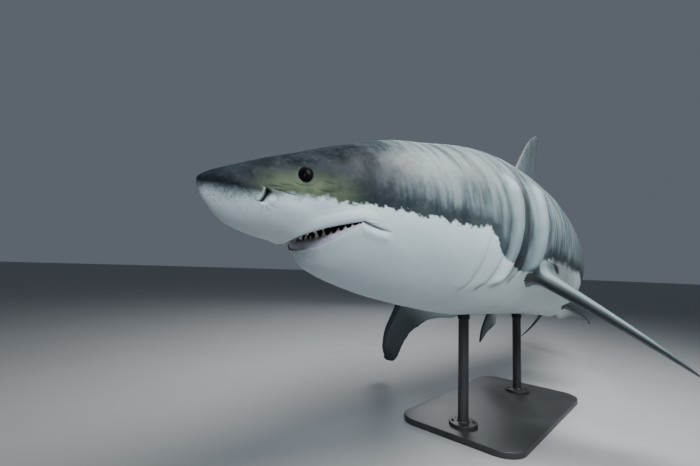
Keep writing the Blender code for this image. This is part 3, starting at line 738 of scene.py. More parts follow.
last = int(np.argmax(STATIONS[mouth_row:] > LIPS_REACH[1]))
from_lower = np.full(rear.shape, FAR_OFF)
from_lower[:last] = closest(rear_skin[:last], lower_lip)
from_fold = np.full(rear.shape, FAR_OFF)
for line in fold_lines:
    from_fold[:last] = np.minimum(from_fold[:last], closest(rear_skin[:last], line))
fade = 1 - ease(11.0, FOLD_END[0] + 0.1, rear)
below_fold = ease(-0.5, 0.5, np.interp(rear, fold_s, fold_z) - rear_z)
low_roll = across_profile(LOWER_LIP, from_lower)
tuck = (-0.20 * hump(from_fold, 0, 0.09) - 0.05 * hump(from_fold, 0, 0.4)) * (0.25 + 0.75 * fade)
tuck = tuck + 0.09 * hump(from_fold, 0.5, 0.35) * below_fold
tuck = tuck * ease(10.2, 10.5, rear) * (1 - ease(FOLD_END[0] - 0.5, FOLD_END[0] + 0.3, rear))
rear_skin = sculpt(rear_skin, rear_out, low_roll + tuck)
# Painted shade darkens the fold near the mouth's corner; a thin line of painted shade runs along the
# lower lip and down the fold.
mouth_fold_shade = 0.9 * hump(from_fold, 0, 0.075) * ease(10.2, 10.4, rear) * (1 - ease(11.2, 12.7, rear))
slit_shade = np.maximum(slit_shade, mouth_fold_shade)
fold_edge = hump(from_fold, 0, 0.08) * (1 - ease(12.2, 12.9, rear))
rear_mouth_shade = np.maximum(hump(from_lower, 0, 0.07), fold_edge)


# ================================================================ the nostrils
# A short slanted slit under each side of the snout, with a small skin flap across its front edge
# and a shallow dish behind it.

NOSTRIL = (3.74, -1.12)  # s and z
NOSTRIL_LENGTH = 0.50  # half of it
NOSTRIL_LEAN = math.radians(66)
NOSTRIL_BOW = 0.35
# Across the slit from front to back: (distance, height).
NOSTRIL_CUT = (
    (-0.6, 0),
    (-0.3, 0.05),
    (-0.12, 0.12),
    (-0.06, 0.10),
    (0.0, -0.10),
    (0.06, -0.38),
    (0.14, -0.34),
    (0.30, -0.08),
    (0.6, 0),
)


def skin_frame(s, z, side):
    """A point of the skin, with the outward, aft and upward directions there."""
    step = 0.05

    def spot(s, z):
        s, z = np.array(s, float), np.array(z, float)
        return at_body(s, side * half_section(s, z), z)

    here = spot(s, z)
    along = spot(s + step, z) - here
    upward = spot(s, z + step) - here
    out = np.cross(along, upward) * side
    out /= np.linalg.norm(out)
    aft = along / np.linalg.norm(along)
    return here, out, aft, np.cross(out, aft) * side


nostril_shade = np.zeros_like(front)
nostril_flap_highlight = np.zeros_like(front)
for side in (1, -1):
    here, _, aft, upward = skin_frame(*NOSTRIL, side)
    away = (front_skin - here) / PERCENT
    back_way, up_way = away @ aft, away @ upward
    lengthwise = back_way * math.cos(NOSTRIL_LEAN) + up_way * math.sin(NOSTRIL_LEAN)
    crosswise = back_way * math.sin(NOSTRIL_LEAN) - up_way * math.cos(NOSTRIL_LEAN)
    crosswise = crosswise + NOSTRIL_BOW * lengthwise**2
    this_side = np.linalg.norm(away, axis=-1) < 2
    inside = this_side * (1 - ease(0.75, 1.15, np.abs(lengthwise) / NOSTRIL_LENGTH))
    wider = 1 + 0.7 * ease(-0.1, 0.35, lengthwise)
    spread = np.where(crosswise > 0, crosswise / wider, crosswise)
    cut = across_profile(NOSTRIL_CUT, spread)
    front_skin = sculpt(front_skin, front_out, cut * inside)
    # Painted shade in the slit, and a painted highlight on the flap.
    nostril_shade = np.maximum(nostril_shade, hump(spread, 0.08, 0.12) * inside)
    nostril_flap_highlight = np.maximum(nostril_flap_highlight, 0.9 * hump(spread, -0.13, 0.07) * inside)


# ================================================================ the eye sockets
# Each eye looks out of a round opening with a thin rolled rim and a low brow over it.  White
# sharks have no lids to draw.

EYE = (6.48, 0.68)  # s and z
EYE_RADIUS = 0.72
EYE_SHAPE = (0.84, 1.06)  # shares of the radius, lengthwise and upward
EYE_SINK = 0.50  # from the skin in to the ball's centre
# From the eye's centre out: (distance, height).
EYE_RIM = (
    (0, -0.1),
    (0.44, -0.1),
    (0.50, -0.18),
    (0.535, -0.13),
    (0.585, -0.02),
    (0.68, 0.012),
    (0.85, 0.018),
    (1.2, 0.008),
    (1.7, 0),
)
BROW_HEIGHT = 0.84

socket_shade = np.zeros_like(front)
for side in (1, -1):
    here, out, aft, upward = skin_frame(*EYE, side)
    away = (front_skin - here) / PERCENT
    back_way, up_way = away @ aft, away @ upward
    beside = (away @ out > -3).astype(float)
    reach = np.hypot(back_way / EYE_SHAPE[0], up_way / EYE_SHAPE[1])
    rim = across_profile(EYE_RIM, reach)
    arch = 0.45 * back_way**2
    brow = 0.05 * hump(up_way, BROW_HEIGHT - arch, 0.12) * hump(back_way, 0, 0.45)
    brow = brow - 0.045 * hump(up_way, BROW_HEIGHT + 0.18 - arch, 0.07) * hump(back_way, 0.05, 0.45)
    front_skin = sculpt(front_skin, front_out, (rim + brow) * beside)
    socket_shade = np.maximum(socket_shade, (1 - ease(0.58, 0.72, reach)) * beside)

# Fine creases run back from each nostril under the eye, and behind the eye: (s, z) and depth.
CREASES = (
    (((4.35, -0.66), (4.9, -0.74), (5.45, -0.90), (5.85, -0.93)), 0.075),
    (((3.95, -0.45), (4.5, -0.42), (5.1, -0.50)), 0.045),
    (((4.6, -0.30), (5.1, -0.26), (5.6, -0.34)), 0.035),
    (((7.45, 0.30), (7.9, 0.12), (8.4, 0.06)), 0.035),
    (((7.1, -0.35), (7.7, -0.52), (8.5, -0.50)), 0.030),
    (((5.55, 0.10), (5.9, -0.14), (6.5, -0.22), (7.1, -0.02)), 0.030),
    (((3.62, -1.72), (3.74, -2.00), (3.66, -2.34)), 0.040),
    (((3.86, -1.62), (4.02, -1.98), (4.30, -2.22)), 0.035),
    (((4.02, -1.45), (4.30, -1.78), (4.62, -1.90)), 0.030),
)
CREASE_STEPS = 60
CREASE_WIDTH = 0.055
CREASE_REACH = 0.12  # metres from its middle, more than the longest crease needs


def crease_depth(sheet, crease, depth, side):
    """How deep a fine crease cuts at each point, tapering towards its ends."""
    crease = np.array(crease)
    k = np.linspace(0, len(crease) - 1, CREASE_STEPS)
    s, z = (flowing_line(np.arange(len(crease)), crease[:, i])(k) for i in (0, 1))
    line = at_body(s, side * half_section(s, z), z)
    taper = np.sin(np.linspace(0.15, math.pi - 0.15, CREASE_STEPS))
    flat = sheet.reshape(-1, 3)
    middle = line[CREASE_STEPS // 2]
    near = np.flatnonzero(np.linalg.norm(flat - middle, axis=-1) < CREASE_REACH)
    away = np.sqrt(((flat[near][:, None] - line[None]) ** 2).sum(-1)) / PERCENT
    which = away.argmin(1)
    cut = np.zeros(len(flat))
    cut[near] = depth * taper[which] * hump(away[np.arange(len(near)), which], 0, CREASE_WIDTH)
    return cut.reshape(sheet.shape[:-1])


crease_shade = np.zeros_like(front)
for side in (1, -1):
    for crease, depth in CREASES:
        cut = crease_depth(front_skin, crease, depth, side)
        front_skin = sculpt(front_skin, front_out, -cut)
        crease_shade = np.maximum(crease_shade, 9 * cut)


# ================================================================ the skin's sheet, closed
# The rings are joined into one closed skin.  Between the lips it turns inward and lines the
# mouth: over the palate, down the throat and forward along the floor of the lower jaw.

LINING_ROWS = 26
FULL_GAPE = 0.8  # the lining is as wide as its profile says where the lips are this far apart
THROAT_MIDDLE = np.array([11.4, 0.0, 0.0])  # s, x and z, which the lining narrows towards
# From the upper lip, down the throat and back to the lower lip: how far in, and how far over.
PALATE = ((0.0, 0.0), (0.10, 0.0), (0.22, 0.12), (0.45, 0.42), (1.0, 0.80), (2.2, 1.05), (3.6, 0.9))
THROAT = ((4.3, 0.0),)
FLOOR = (
    (3.6, -0.9),
    (2.2, -1.0),
    (1.25, -0.75),
    (0.85, -0.42),
    (0.42, -0.22),
    (0.16, -0.03),
    (0.0, 0.0),
)
SKIN_END = (90.5, -0.05)  # s and z of the point that closes the skin inside the tail fin
upper_edge = (front[-1], front_x[-1], front_z[-1])
lower_edge = (rear[0] + jaw_tuck[0], rear_x[0], rear_z[0])


def mouth_lining():
    """Rows of points between the lips, from the upper one to the lower one."""
    upper = np.stack(upper_edge, -1)[in_mouth]
    lower = np.stack(lower_edge, -1)[in_mouth]
    gape = np.linalg.norm(upper - lower, axis=-1)
    size = np.minimum(gape / FULL_GAPE, 1)[:, None]
    paths = []
    for path_end, points in ((upper, PALATE), ((upper + lower) / 2, THROAT), (lower, FLOOR)):
        way = THROAT_MIDDLE[None] - path_end
        way[:, 2] = 0
        way /= np.linalg.norm(way, axis=-1, keepdims=True)
        for inward, rise in points:
            spot = path_end + way * inward * size
            spot[:, 2] += rise * size[:, 0]
            paths.append(spot)
    rows = []
    for t in np.linspace(0, 1, LINING_ROWS + 1)[1:-1]:
        k = t * (len(paths) - 1)
        i = min(int(k), len(paths) - 2)
        rows.append(paths[i] * (1 - (k - i)) + paths[i + 1] * (k - i))
    rows = np.array(rows)
    rows[1:-1] = rows[1:-1] * 0.5 + (rows[:-2] + rows[2:]) * 0.25
    return at_body(rows[..., 0], rows[..., 1], rows[..., 2])


# Beyond the mouth's corners the two sheets meet, so any step between them is evened out.
step = np.where(in_mouth[:, None], 0, front_skin[-1] - rear_skin[0])
rear_skin = rear_skin + step[None] * (1 - ease(0, 1.6, behind_mouth))[..., None]

# The lining's first and last rows follow the lips as they were sculpted.
lining = mouth_lining()
edge_move = np.linspace(1, 0, 6)[1:, None, None]
lining[:5] += edge_move * (front_skin[-1] - at_body(*upper_edge))[in_mouth]
lining[-5:] += edge_move[::-1] * (rear_skin[0] - at_body(*lower_edge))[in_mouth]


def numbered(start, *shape):
    """The numbers of a block of points, counted on from the start."""
    return start + np.arange(math.prod(shape)).reshape(shape)


strips = len(ANGLES)
mouth_strips = int(in_mouth.sum())
index_front = numbered(0, len(front), strips)
count = index_front.size
index_lining = np.repeat(index_front[-1][None], len(lining), 0)
index_lining[:, in_mouth] = numbered(count, len(lining), mouth_strips)
count += len(lining) * mouth_strips
index_rear = np.empty((len(rear), strips), int)
index_rear[0] = index_front[-1]
index_rear[0, in_mouth] = numbered(count, mouth_strips)
count += mouth_strips
index_rear[1:] = numbered(count, len(rear) - 1, strips)
count += (len(rear) - 1) * strips
tips = at_body(np.array([0.0, SKIN_END[0]]), np.zeros(2), np.array([0.0, SKIN_END[1]]))
blocks = (front_skin, lining, rear_skin[0][in_mouth], rear_skin[1:], tips)
points = np.concatenate([block.reshape(-1, 3) for block in blocks])

rows = np.concatenate([index_front, index_lining, index_rear])
a, b = rows[:-1], rows[1:]
c, d = np.roll(b, -1, 1), np.roll(a, -1, 1)
a, b, c, d = (v.ravel() for v in (a, b, c, d))
whole = (a != b) & (c != d)
faces = [tuple(f) for f in np.stack([a, b, c, d], -1)[whole].tolist()]
faces += [tuple(f) for f in np.stack([a, c, d], -1)[(a == b) & (c != d)].tolist()]
faces += [tuple(f) for f in np.stack([a, b, c], -1)[(a != b) & (c == d)].tolist()]
nose, stern = count, count + 1
faces += [(nose, index_front[0, j], index_front[0, (j + 1) % strips]) for j in range(strips)]
faces += [(stern, index_rear[-1, (j + 1) % strips], index_rear[-1, j]) for j in range(strips)]


def sheet_mesh(name, points, faces, **marks):
    """A mesh of the points and faces, turned outward, with named marks on its points."""
    mesh = bpy.data.meshes.new(name)
    mesh.from_pydata(points.tolist(), [], faces)
    build = bmesh.new()
    build.from_mesh(mesh)
    if build.calc_volume(signed=True) < 0:
        bmesh.ops.reverse_faces(build, faces=build.faces)
    build.to_mesh(mesh)
    build.free()
    for mark, values in marks.items():
        data = mesh.attributes.new(mark, "FLOAT", "POINT")
        data.data.foreach_set("value", np.ascontiguousarray(values, dtype=np.float32))
    piece = bpy.data.objects.new(name, mesh)
    bpy.context.scene.collection.objects.link(piece)
    return piece


def on_sheet(front_values, lining_value, rear_values):
    """The marks of the whole skin, in the order of its points."""
    lined = np.full(len(lining) * mouth_strips, lining_value)
    lower_lip_values = rear_values[0][in_mouth]
    return np.concatenate(
        [front_values.ravel(), lined, lower_lip_values, rear_values[1:].ravel(), [0.0, 0.0]]
    )


# The skin's marks: painted shade in the gaps, over the mouth's lining and along the lips, and painted
# highlights and shade on the folds.
skin = sheet_mesh(
    "shark_skin",
    points,
    faces,
    fin_part=np.zeros(len(points)),
    dark_gap=on_sheet(np.maximum(nostril_shade, socket_shade), 1.0, slit_shade),
    lip_edge=on_sheet(front_mouth_shade, 1.0, rear_mouth_shade),
    fold_tone=on_sheet(nostril_flap_highlight - crease_shade, 0.0, fold_tone),
    # The mouth's lining is painted dark as shade.
    mouth_inside=on_sheet(np.zeros_like(front), 1.0, np.zeros_like(rear)),
    fin_out=np.zeros(len(points)),
    fin_back=np.zeros(len(points)),
    fin_face=np.zeros(len(points)),
)


# ================================================================ the fins
# Eight stiff fins, each lofted through its own outline: two on the back, one below the tail's
# stalk, the crescent tail, and the paired pectoral and pelvic fins.  Each swells out at its root
# in a smooth fillet, so that it grows from the body, and has a thin, slightly worn trailing edge.

# Outlines: (height, leading edge, trailing edge, half thickness at the thickest point).  The
# median fins' heights are z and their edges s; the paired fins' are measured from the front of
# the base, out along the fin and back along the body.
FIRST_DORSAL = (
    (7.0, 37.6, 49.4, 0.95),
    (8.8, 39.3, 50.1, 0.80),
    (9.6, 40.4, 52.4, 0.68),
    (10.3, 41.2, 52.7, 0.62),
    (11.4, 41.7, 51.2, 0.56),
    (13.4, 42.9, 50.2, 0.44),
    (15.8, 44.5, 49.5, 0.32),
    (17.7, 46.3, 49.3, 0.20),
    (18.5, 47.7, 49.2, 0.10),
)
SECOND_DORSAL = (
    (2.4, 73.2, 75.6, 0.24),
    (4.0, 74.1, 75.6, 0.19),
    (4.5, 74.6, 77.0, 0.13),
    (5.0, 75.2, 76.5, 0.09),
    (5.5, 76.0, 76.4, 0.05),
)
ANAL = (
    (-2.2, 74.7, 77.0, 0.24),
    (-3.3, 75.3, 76.9, 0.19),
    (-3.9, 75.9, 78.4, 0.13),
    (-4.5, 76.6, 77.9, 0.09),
    (-5.2, 77.5, 77.9, 0.05),
)
TAIL = (
    (-12.0, 95.2, 95.5, 0.06),
    (-11.2, 94.0, 95.0, 0.13),
    (-9.6, 92.0, 94.0, 0.22),
    (-7.0, 89.3, 92.6, 0.34),
    (-4.0, 86.6, 91.4, 0.48),
    (-1.8, 84.9, 90.7, 0.60),
    (0.0, 84.6, 90.3, 0.62),
    (1.8, 85.0, 90.5, 0.60),
    (4.0, 86.9, 91.1, 0.48),
    (7.0, 90.0, 93.0, 0.36),
    (10.0, 94.0, 95.8, 0.24),
    (12.4, 97.5, 98.5, 0.15),
    (13.1, 98.6, 99.6, 0.12),
    (14.0, 99.7, 100.0, 0.06),
)
TAIL_LAG = -0.034  # the lobes' tips trail behind the tail's stroke
PECTORAL = (
    (-3.2, -1.8, 6.6, 1.00),
    (0.0, 0.3, 7.4, 0.90),
    (0.9, 1.0, 10.6, 0.84),
    (1.5, 1.5, 12.3, 0.80),
    (2.4, 2.2, 12.2, 0.74),
    (3.9, 3.4, 11.2, 0.66),
    (5.3, 4.6, 10.7, 0.58),
    (8.0, 6.7, 11.15, 0.45),
    (11.0, 8.9, 13.0, 0.31),
    (12.8, 10.8, 14.6, 0.21),
    (13.8, 12.2, 15.1, 0.14),
    (14.4, 13.6, 14.8, 0.08),
)
PELVIC = (
    (-2.0, -1.0, 4.6, 0.55),
    (0.0, 0.0, 4.9, 0.46),
    (0.9, 0.7, 6.6, 0.40),
    (1.4, 1.1, 7.2, 0.36),
    (2.3, 2.0, 7.0, 0.30),
    (3.8, 3.4, 6.6, 0.21),
    (5.2, 4.9, 6.7, 0.14),
    (6.0, 6.1, 6.9, 0.07),
)
# How a paired fin is set: base station, x and z, then in degrees the droop at its base, the
# further droop towards its tip, the sweep, the pitch at its base and the twist to its tip.
PECTORAL_LEFT = (26.9, 5.5, -3.7, 26.7, 1.2, -6.4, 2.1, 6.0)
PECTORAL_RIGHT = (27.7, -6.4, -2.5, 43.7, -10.6, -10, 38.6, 0)
PELVIC_LEFT = (53.5, 4.75, -6.1, -16, 27, 27, 14, 8)
PELVIC_RIGHT = (53.5, -4.75, -6.1, 64, 9, -35, -1, 8)

FIN_ROWS = 90
FIN_STRIPS = 34  # on each face
FIN_CAP = 0.55  # how far the rounded ends reach, as a share of half the chord there
FILLET_FULLNESS = 0.85
BLADE_FULLNESS = 2.55  # brings a section's thickest point up to about the outline's value
THIN_EDGE = 0.045  # half the thickness near the trailing edge
BEND_STEPS = 8  # along a paired fin, whose droop is summed over them


def median_place(height, along, across):
    """The back and anal fins stand in the body's midplane."""
    return at_body(along, across, height)


def tail_place(height, along, across):
    """The tail stands in the midplane too, with its lobes' tips bent a little aside."""
    return at_body(along, across + TAIL_LAG * height**2, height)


def paired_place(setting, outline):
    """A function from a paired fin's own measures to the model's frame."""
    span = outline[-1][0]
    s, x, z = setting[:3]
    droop, further, sweep, pitch, twist = (math.radians(a) for a in setting[3:])
    axis, left, aft, up = axis_frame(np.array(float(s)))
    base = axis + left * x + up * z
    outward_way = left * math.copysign(1, x)

    def place(height, along, across):
        outward = height * math.cos(sweep) - along * math.sin(sweep)
        back = height * math.sin(sweep) + along * math.cos(sweep)
        tilt = pitch + twist * np.clip(outward / span, 0, 1.3)
        aftward = back * np.cos(tilt) + across * np.sin(tilt)
        lift = across * np.cos(tilt) - back * np.sin(tilt)
        steps = np.linspace(0, 1, BEND_STEPS + 1)[:, None, None] * outward[None]
        slopes = droop + further * np.clip(steps / span, 0, None)
        middle = (slopes[1:] + slopes[:-1]) / 2
        far = np.cos(middle).sum(0) * outward / BEND_STEPS
        down = np.sin(middle).sum(0) * outward / BEND_STEPS
        face = outward_way * np.sin(slopes[-1])[..., None] + up * np.cos(slopes[-1])[..., None]
        out_and_down = outward_way * far[..., None] - up * down[..., None]
        return to_world(base + out_and_down + aft * aftward[..., None] + face * lift[..., None])

    return place


def body_clearance(points):
    """About how far points are outside the body's skin, in per cent."""
    s, x, z = body_place(points.reshape(-1, 3))
    back, belly, breadth, widest, above, below = body_lines(s)
    high = z >= widest
    power = np.where(high, above, below)
    reach = np.where(high, back - widest, widest - belly)
    level = ((np.abs(x) / breadth) ** power + (np.abs(z - widest) / reach) ** power) ** (1 / power)
    level = np.maximum(level, 0.05)
    return (np.hypot(x, z - widest) * (1 - 1 / level)).reshape(points.shape[:-1])


def make_fin(name, outline, place, fillet, wear=0.05, both_ends=False):
    """A closed fin through its outline, with a fillet at its root and a worn trailing edge."""
    rows = np.array(outline)
    where = np.arange(len(rows))
    k = np.linspace(0, len(rows) - 1, FIN_ROWS)
    outline_lines = np.array([flowing_line(where, column)(k) for column in rows.T])
    turn = np.linspace(0, math.pi / 2, 9)[1:-1]

    def rounded(end, next_in):
        """The rows of a rounded cap beyond an end of the outline."""
        height, leading, trailing, thickness = end
        middle = (leading + trailing) / 2
        half = (trailing - leading) / 2
        reach = math.copysign(FIN_CAP * half, height - next_in[0])
        return np.array(
            [
                height + reach * np.sin(turn),
                middle - half * np.cos(turn),
                middle + half * np.cos(turn),
                thickness * np.cos(turn),
            ]
        )

    caps = [outline_lines, rounded(outline_lines[:, -1], outline_lines[:, -2])]
    if both_ends:
        caps.insert(0, rounded(outline_lines[:, 0], outline_lines[:, 1])[:, ::-1])
    height, leading, trailing, thickness = np.concatenate(caps, 1)
    share = (height - height[0]) / (height[-1] - height[0])
    notches = np.sin(57 * share) * np.sin(23 * share + 1) * np.sin(131 * share + 2)
    trailing = trailing + wear * notches * ease(0.25, 0.4, share) * (1 - ease(0.9, 1.0, share))

    # A section is blunt in front and thin behind; its strips go down one face and back the other.
    t = 0.5 - 0.5 * np.cos(np.linspace(0, math.pi, FIN_STRIPS + 1))
    blade = BLADE_FULLNESS * np.sqrt(t) * (1 - t) ** 0.9
    edge = THIN_EDGE * np.minimum(1, np.sqrt((1 - t) / 0.03)) * ease(0.0, 0.4, t)
    half = thickness[:, None] * blade[None] + edge[None] * np.minimum(1, thickness[:, None] / 0.12)
    chord = trailing - leading
    along = leading[:, None] + chord[:, None] * t[None]
    along = np.concatenate([along, along[:, -2:0:-1]], 1)
    across = np.concatenate([half, -half[:, -2:0:-1]], 1)
    back = np.concatenate([t, t[-2:0:-1]])[None] * np.ones_like(along)
    face = np.concatenate([np.ones(len(t)), -np.ones(len(t) - 2)])[None] * np.ones_like(along)
    up = height[:, None] * np.ones_like(along)
    points = place(up, along, across)

    # The fillet: the fin swells where it comes near the body's skin.
    out = sheet_normals(points)
    if ((points - points.mean(1, keepdims=True)) * out).sum() < 0:
        out = -out
    near = np.clip(1 - body_clearance(points) / fillet, 0, 1)
    swell = fillet * (1 - np.sqrt(1 - near**2)) * FILLET_FULLNESS
    points = points + out * swell[..., None] * PERCENT

    count, around = along.shape
    index = numbered(0, count, around)
    a, b = index[:-1], index[1:]
    c, d = np.roll(b, -1, 1), np.roll(a, -1, 1)
    faces = [tuple(f) for f in np.stack([a.ravel(), b.ravel(), c.ravel(), d.ravel()], -1).tolist()]
    first, last = count * around, count * around + 1
    faces += [(first, index[0, j], index[0, (j + 1) % around]) for j in reversed(range(around))]
    faces += [(last, index[-1, (j + 1) % around], index[-1, j]) for j in range(around)]
    flat = np.concatenate([points.reshape(-1, 3), [points[0].mean(0), points[-1].mean(0)]])
    from_root = share[:, None] * np.ones_like(along)
    if both_ends:
        from_root = np.abs(from_root * 2 - 1)
    none = np.zeros(len(flat))
    return sheet_mesh(
        name,
        flat,
        faces,
        fin_part=none + 1,
        dark_gap=none,
        lip_edge=none,
        fold_tone=none,
        mouth_inside=none,
        fin_out=np.concatenate([from_root.ravel(), [from_root[0, 0], 1.0]]),
        fin_back=np.concatenate([back.ravel(), [0.5, 0.5]]),
        fin_face=np.concatenate([face.ravel(), [0, 0]]),
    )


fins = [
    make_fin("dorsal", FIRST_DORSAL, median_place, 1.0, wear=0.16),
    make_fin("second_dorsal", SECOND_DORSAL, median_place, 0.3, wear=0.02),
    make_fin("anal", ANAL, median_place, 0.3, wear=0.02),
    make_fin("tail", TAIL, tail_place, 0.5, wear=0.10, both_ends=True),
    make_fin("pectoral_left", PECTORAL, paired_place(PECTORAL_LEFT, PECTORAL), 1.1, wear=0.10),
    make_fin("pectoral_right", PECTORAL, paired_place(PECTORAL_RIGHT, PECTORAL), 1.1, wear=0.10),
    make_fin("pelvic_left", PELVIC, paired_place(PELVIC_LEFT, PELVIC), 0.6),
    make_fin("pelvic_right", PELVIC, paired_place(PELVIC_RIGHT, PELVIC), 0.6),
]
for fin in fins:
    build = bmesh.new()
    build.from_mesh(fin.data)
    bmesh.ops.recalc_face_normals(build, faces=build.faces)
    build.to_mesh(fin.data)
    build.free()
    union = skin.modifiers.new(fin.name, "BOOLEAN")
    union.operation = "UNION"
    union.solver = "MANIFOLD"
    union.object = fin
graph = bpy.context.evaluated_depsgraph_get()
joined = bpy.data.meshes.new_from_object(skin.evaluated_get(graph))
skin.modifiers.clear()
skin.data = joined
for fin in fins:
    bpy.data.objects.remove(fin)


JOIN_REACH = 0.022  # metres on either side of a join that are evened out
JOIN_PULL = 0.6  # the share of its way to its neighbours' middle that a point at the join moves
JOIN_ROUNDS = 24


def read_mark(mesh, mark):
    """The values of a mark on a mesh's points."""
    values = np.empty(len(mesh.vertices), np.float32)
    mesh.attributes[mark].data.foreach_get("value", values)
    return values.astype(float)


def soften_joins(mesh, reach, rounds):
    """Evens the skin out around the lines where fins meet the body, and returns its points."""
    spots = np.empty(len(mesh.vertices) * 3, np.float32)
    mesh.vertices.foreach_get("co", spots)
    spots = spots.reshape(-1, 3).astype(float)
    edges = np.empty(len(mesh.edges) * 2, np.int32)
    mesh.edges.foreach_get("vertices", edges)
    edges = edges.reshape(-1, 2)
    part = read_mark(mesh, "fin_part") > 0.5
    joins = np.unique(edges[part[edges[:, 0]] != part[edges[:, 1]]])
    tree = KDTree(len(joins))
    for i, v in enumerate(joins):
        tree.insert(spots[v], i)
    tree.balance()
    low, high = spots[joins].min(0) - reach, spots[joins].max(0) + reach
    in_box = ((spots > low) & (spots < high)).all(1)
    # Points that lie in the black gaps of painted shade are left where they are.
    close = np.flatnonzero(in_box & (read_mark(mesh, "dark_gap") < 0.3))
    away = np.array([tree.find(spots[v])[2] for v in close])
    close, away = close[away < reach], away[away < reach]
    hold = np.zeros(len(spots))
    hold[close] = JOIN_PULL * (1 - (away / reach) ** 2)
    use = edges[(hold[edges[:, 0]] > 0) | (hold[edges[:, 1]] > 0)]
    number = np.bincount(use.ravel(), minlength=len(spots))[close]
    for _ in range(rounds):  # each point moves towards the middle of its neighbours
        total = np.zeros_like(spots)
        for k in range(3):
            total[:, k] += np.bincount(use[:, 0], weights=spots[use[:, 1], k], minlength=len(spots))
            total[:, k] += np.bincount(use[:, 1], weights=spots[use[:, 0], k], minlength=len(spots))
        middle = total[close] / number[:, None]
        spots[close] += (middle - spots[close]) * hold[close][:, None]
    mesh.vertices.foreach_set("co", spots.astype(np.float32).ravel())
    mesh.update()
    return spots


skin_spots = soften_joins(skin.data, JOIN_REACH, JOIN_ROUNDS)
skin.data.shade_smooth()
fit_to_frame(
    skin,
    "skin",
    "head",
    "lower_jaw",
    "gill_region",
    "trunk_front",
    "trunk_rear",
    "tail_root",
    "tail_stalk",
    "dorsal_fin",
    "second_dorsal_fin",
    "anal_fin",
    "tail_fin_upper",
    "tail_fin_lower",
    "pectoral_fin_left",
    "pectoral_fin_right",
    "pelvic_fin_left",
    "pelvic_fin_right",
)


# ================================================================ the paint
# The cast skin is painted by hand in matt artist's colours: slate above, with an olive tinge on
# the head, and chalk white below a ragged line.  Freckles along the line and pores on the snout are
# laid over it, with streaks of painted light down the flanks, painted highlights and painted shade on
# the folds and fins, and painted shade in the gaps and the mouth; a satin varnish seals it all.

# Each paint's darker and paler tone.  The flank slate's paler tone is painted light, streaks as of
# light on the back, and the dusk is partly a dusky tone and partly painted shade.
HEAD_SLATE = ((0.009, 0.012, 0.016), (0.021, 0.028, 0.034))
FLANK_SLATE_AND_LIGHT = ((0.047, 0.068, 0.077), (0.156, 0.206, 0.218))
PLAIN_SLATE = ((0.045, 0.062, 0.070), (0.071, 0.095, 0.104))
OLIVE = ((0.038, 0.055, 0.033), (0.120, 0.155, 0.088))
CHALK = ((0.545, 0.650, 0.680), (0.635, 0.735, 0.755))
DUSK_AND_SHADE = ((0.026, 0.031, 0.039), (0.050, 0.059, 0.069))
# Painted highlights on swollen folds and painted shade in hollows and creases, on the chalk and on the
# slate.
FOLD_HIGHLIGHT = ((0.70, 0.78, 0.80), (0.270, 0.350, 0.370))
FOLD_SHADE = ((0.16, 0.19, 0.20), (0.016, 0.020, 0.022))
# Paints of a single tone.  The fin roots' and crests' greys are painted highlights; the fin edges',
# lips', mouth's and gaps' darks are painted shade.
FIN_ROOT_HIGHLIGHT = (0.205, 0.270, 0.290)
FIN_CREST_HIGHLIGHT = (0.215, 0.285, 0.305)
MARGIN_SLATE = (0.019, 0.028, 0.033)
SCUFF_GREY = (0.12, 0.14, 0.14)
CHALK_SHADE = (0.42, 0.53, 0.56)
CHIN_GREY = (0.050, 0.060, 0.072)
FIN_TIP_BLACK = (0.020, 0.022, 0.024)
FIN_EDGE_SHADE = (0.016, 0.019, 0.023)
AXIL_BLACK = (0.018, 0.021, 0.024)
PORE_BLACK = (0.035, 0.042, 0.042)
LIP_SHADE = (0.20, 0.17, 0.18)
MOUTH_SHADE = (0.030, 0.018, 0.020)
GAP_SHADE = (0.010, 0.010, 0.011)

# The line between the two colours, as heights at stations along the side.
COLOUR_LINE = np.array(
    [
        (0.0, -0.70),
        (1.3, -0.95),
        (2.3, -1.16),
        (3.75, -1.18),
        (6.0, -1.02),
        (10.0, -1.02),
        (12.8, -1.39),
        (18.85, -1.95),
        (21.0, -1.84),
        (21.9, -2.3),
        (22.5, -3.5),
        (23.9, -4.5),
        (26.0, -5.1),
        (30.0, -4.9),
        (31.3, -3.9),
        (32.4, -3.0),
        (36.7, -2.8),
        (42.5, -2.3),
        (50.0, -1.9),
        (57.0, -2.7),
        (64.0, -1.9),
        (70.0, -1.3),
        (76.0, -1.2),
        (82.0, -1.1),
        (86.0, -1.9),
        (90.0, -3.0),
    ]
)

PAIRED_FINS_END = 70  # the paired fins are ahead of this station
PAIRED_FINS_TOP = 6  # and below this height
TAIL_START = 80

# Marks on the skin's points say where each paint goes.
mesh = skin.data
along, _, height = body_place(skin_spots)
is_fin = read_mark(mesh, "fin_part") > 0.5
fin_out, fin_face, fin_back = (read_mark(mesh, mark) for mark in ("fin_out", "fin_face", "fin_back"))
paired = is_fin & (along < PAIRED_FINS_END) & (height < PAIRED_FINS_TOP)
median = is_fin & ~paired

# The paired fins are slate on top and, as painted shade round the leading edge, a little way underneath
# as well.
leading_edge_shade = paired * (1 - ease(0.10, 0.22, fin_back)) * (fin_face <= 0) * ease(0.12, 0.3, fin_out)
above_line = height - across_profile(COLOUR_LINE, along)
above_line = np.where(paired, np.maximum(fin_face, 2 * leading_edge_shade - 1) * 2.2, above_line)
above_line = np.where(median & (along > TAIL_START), np.maximum(above_line, 3.0), above_line)

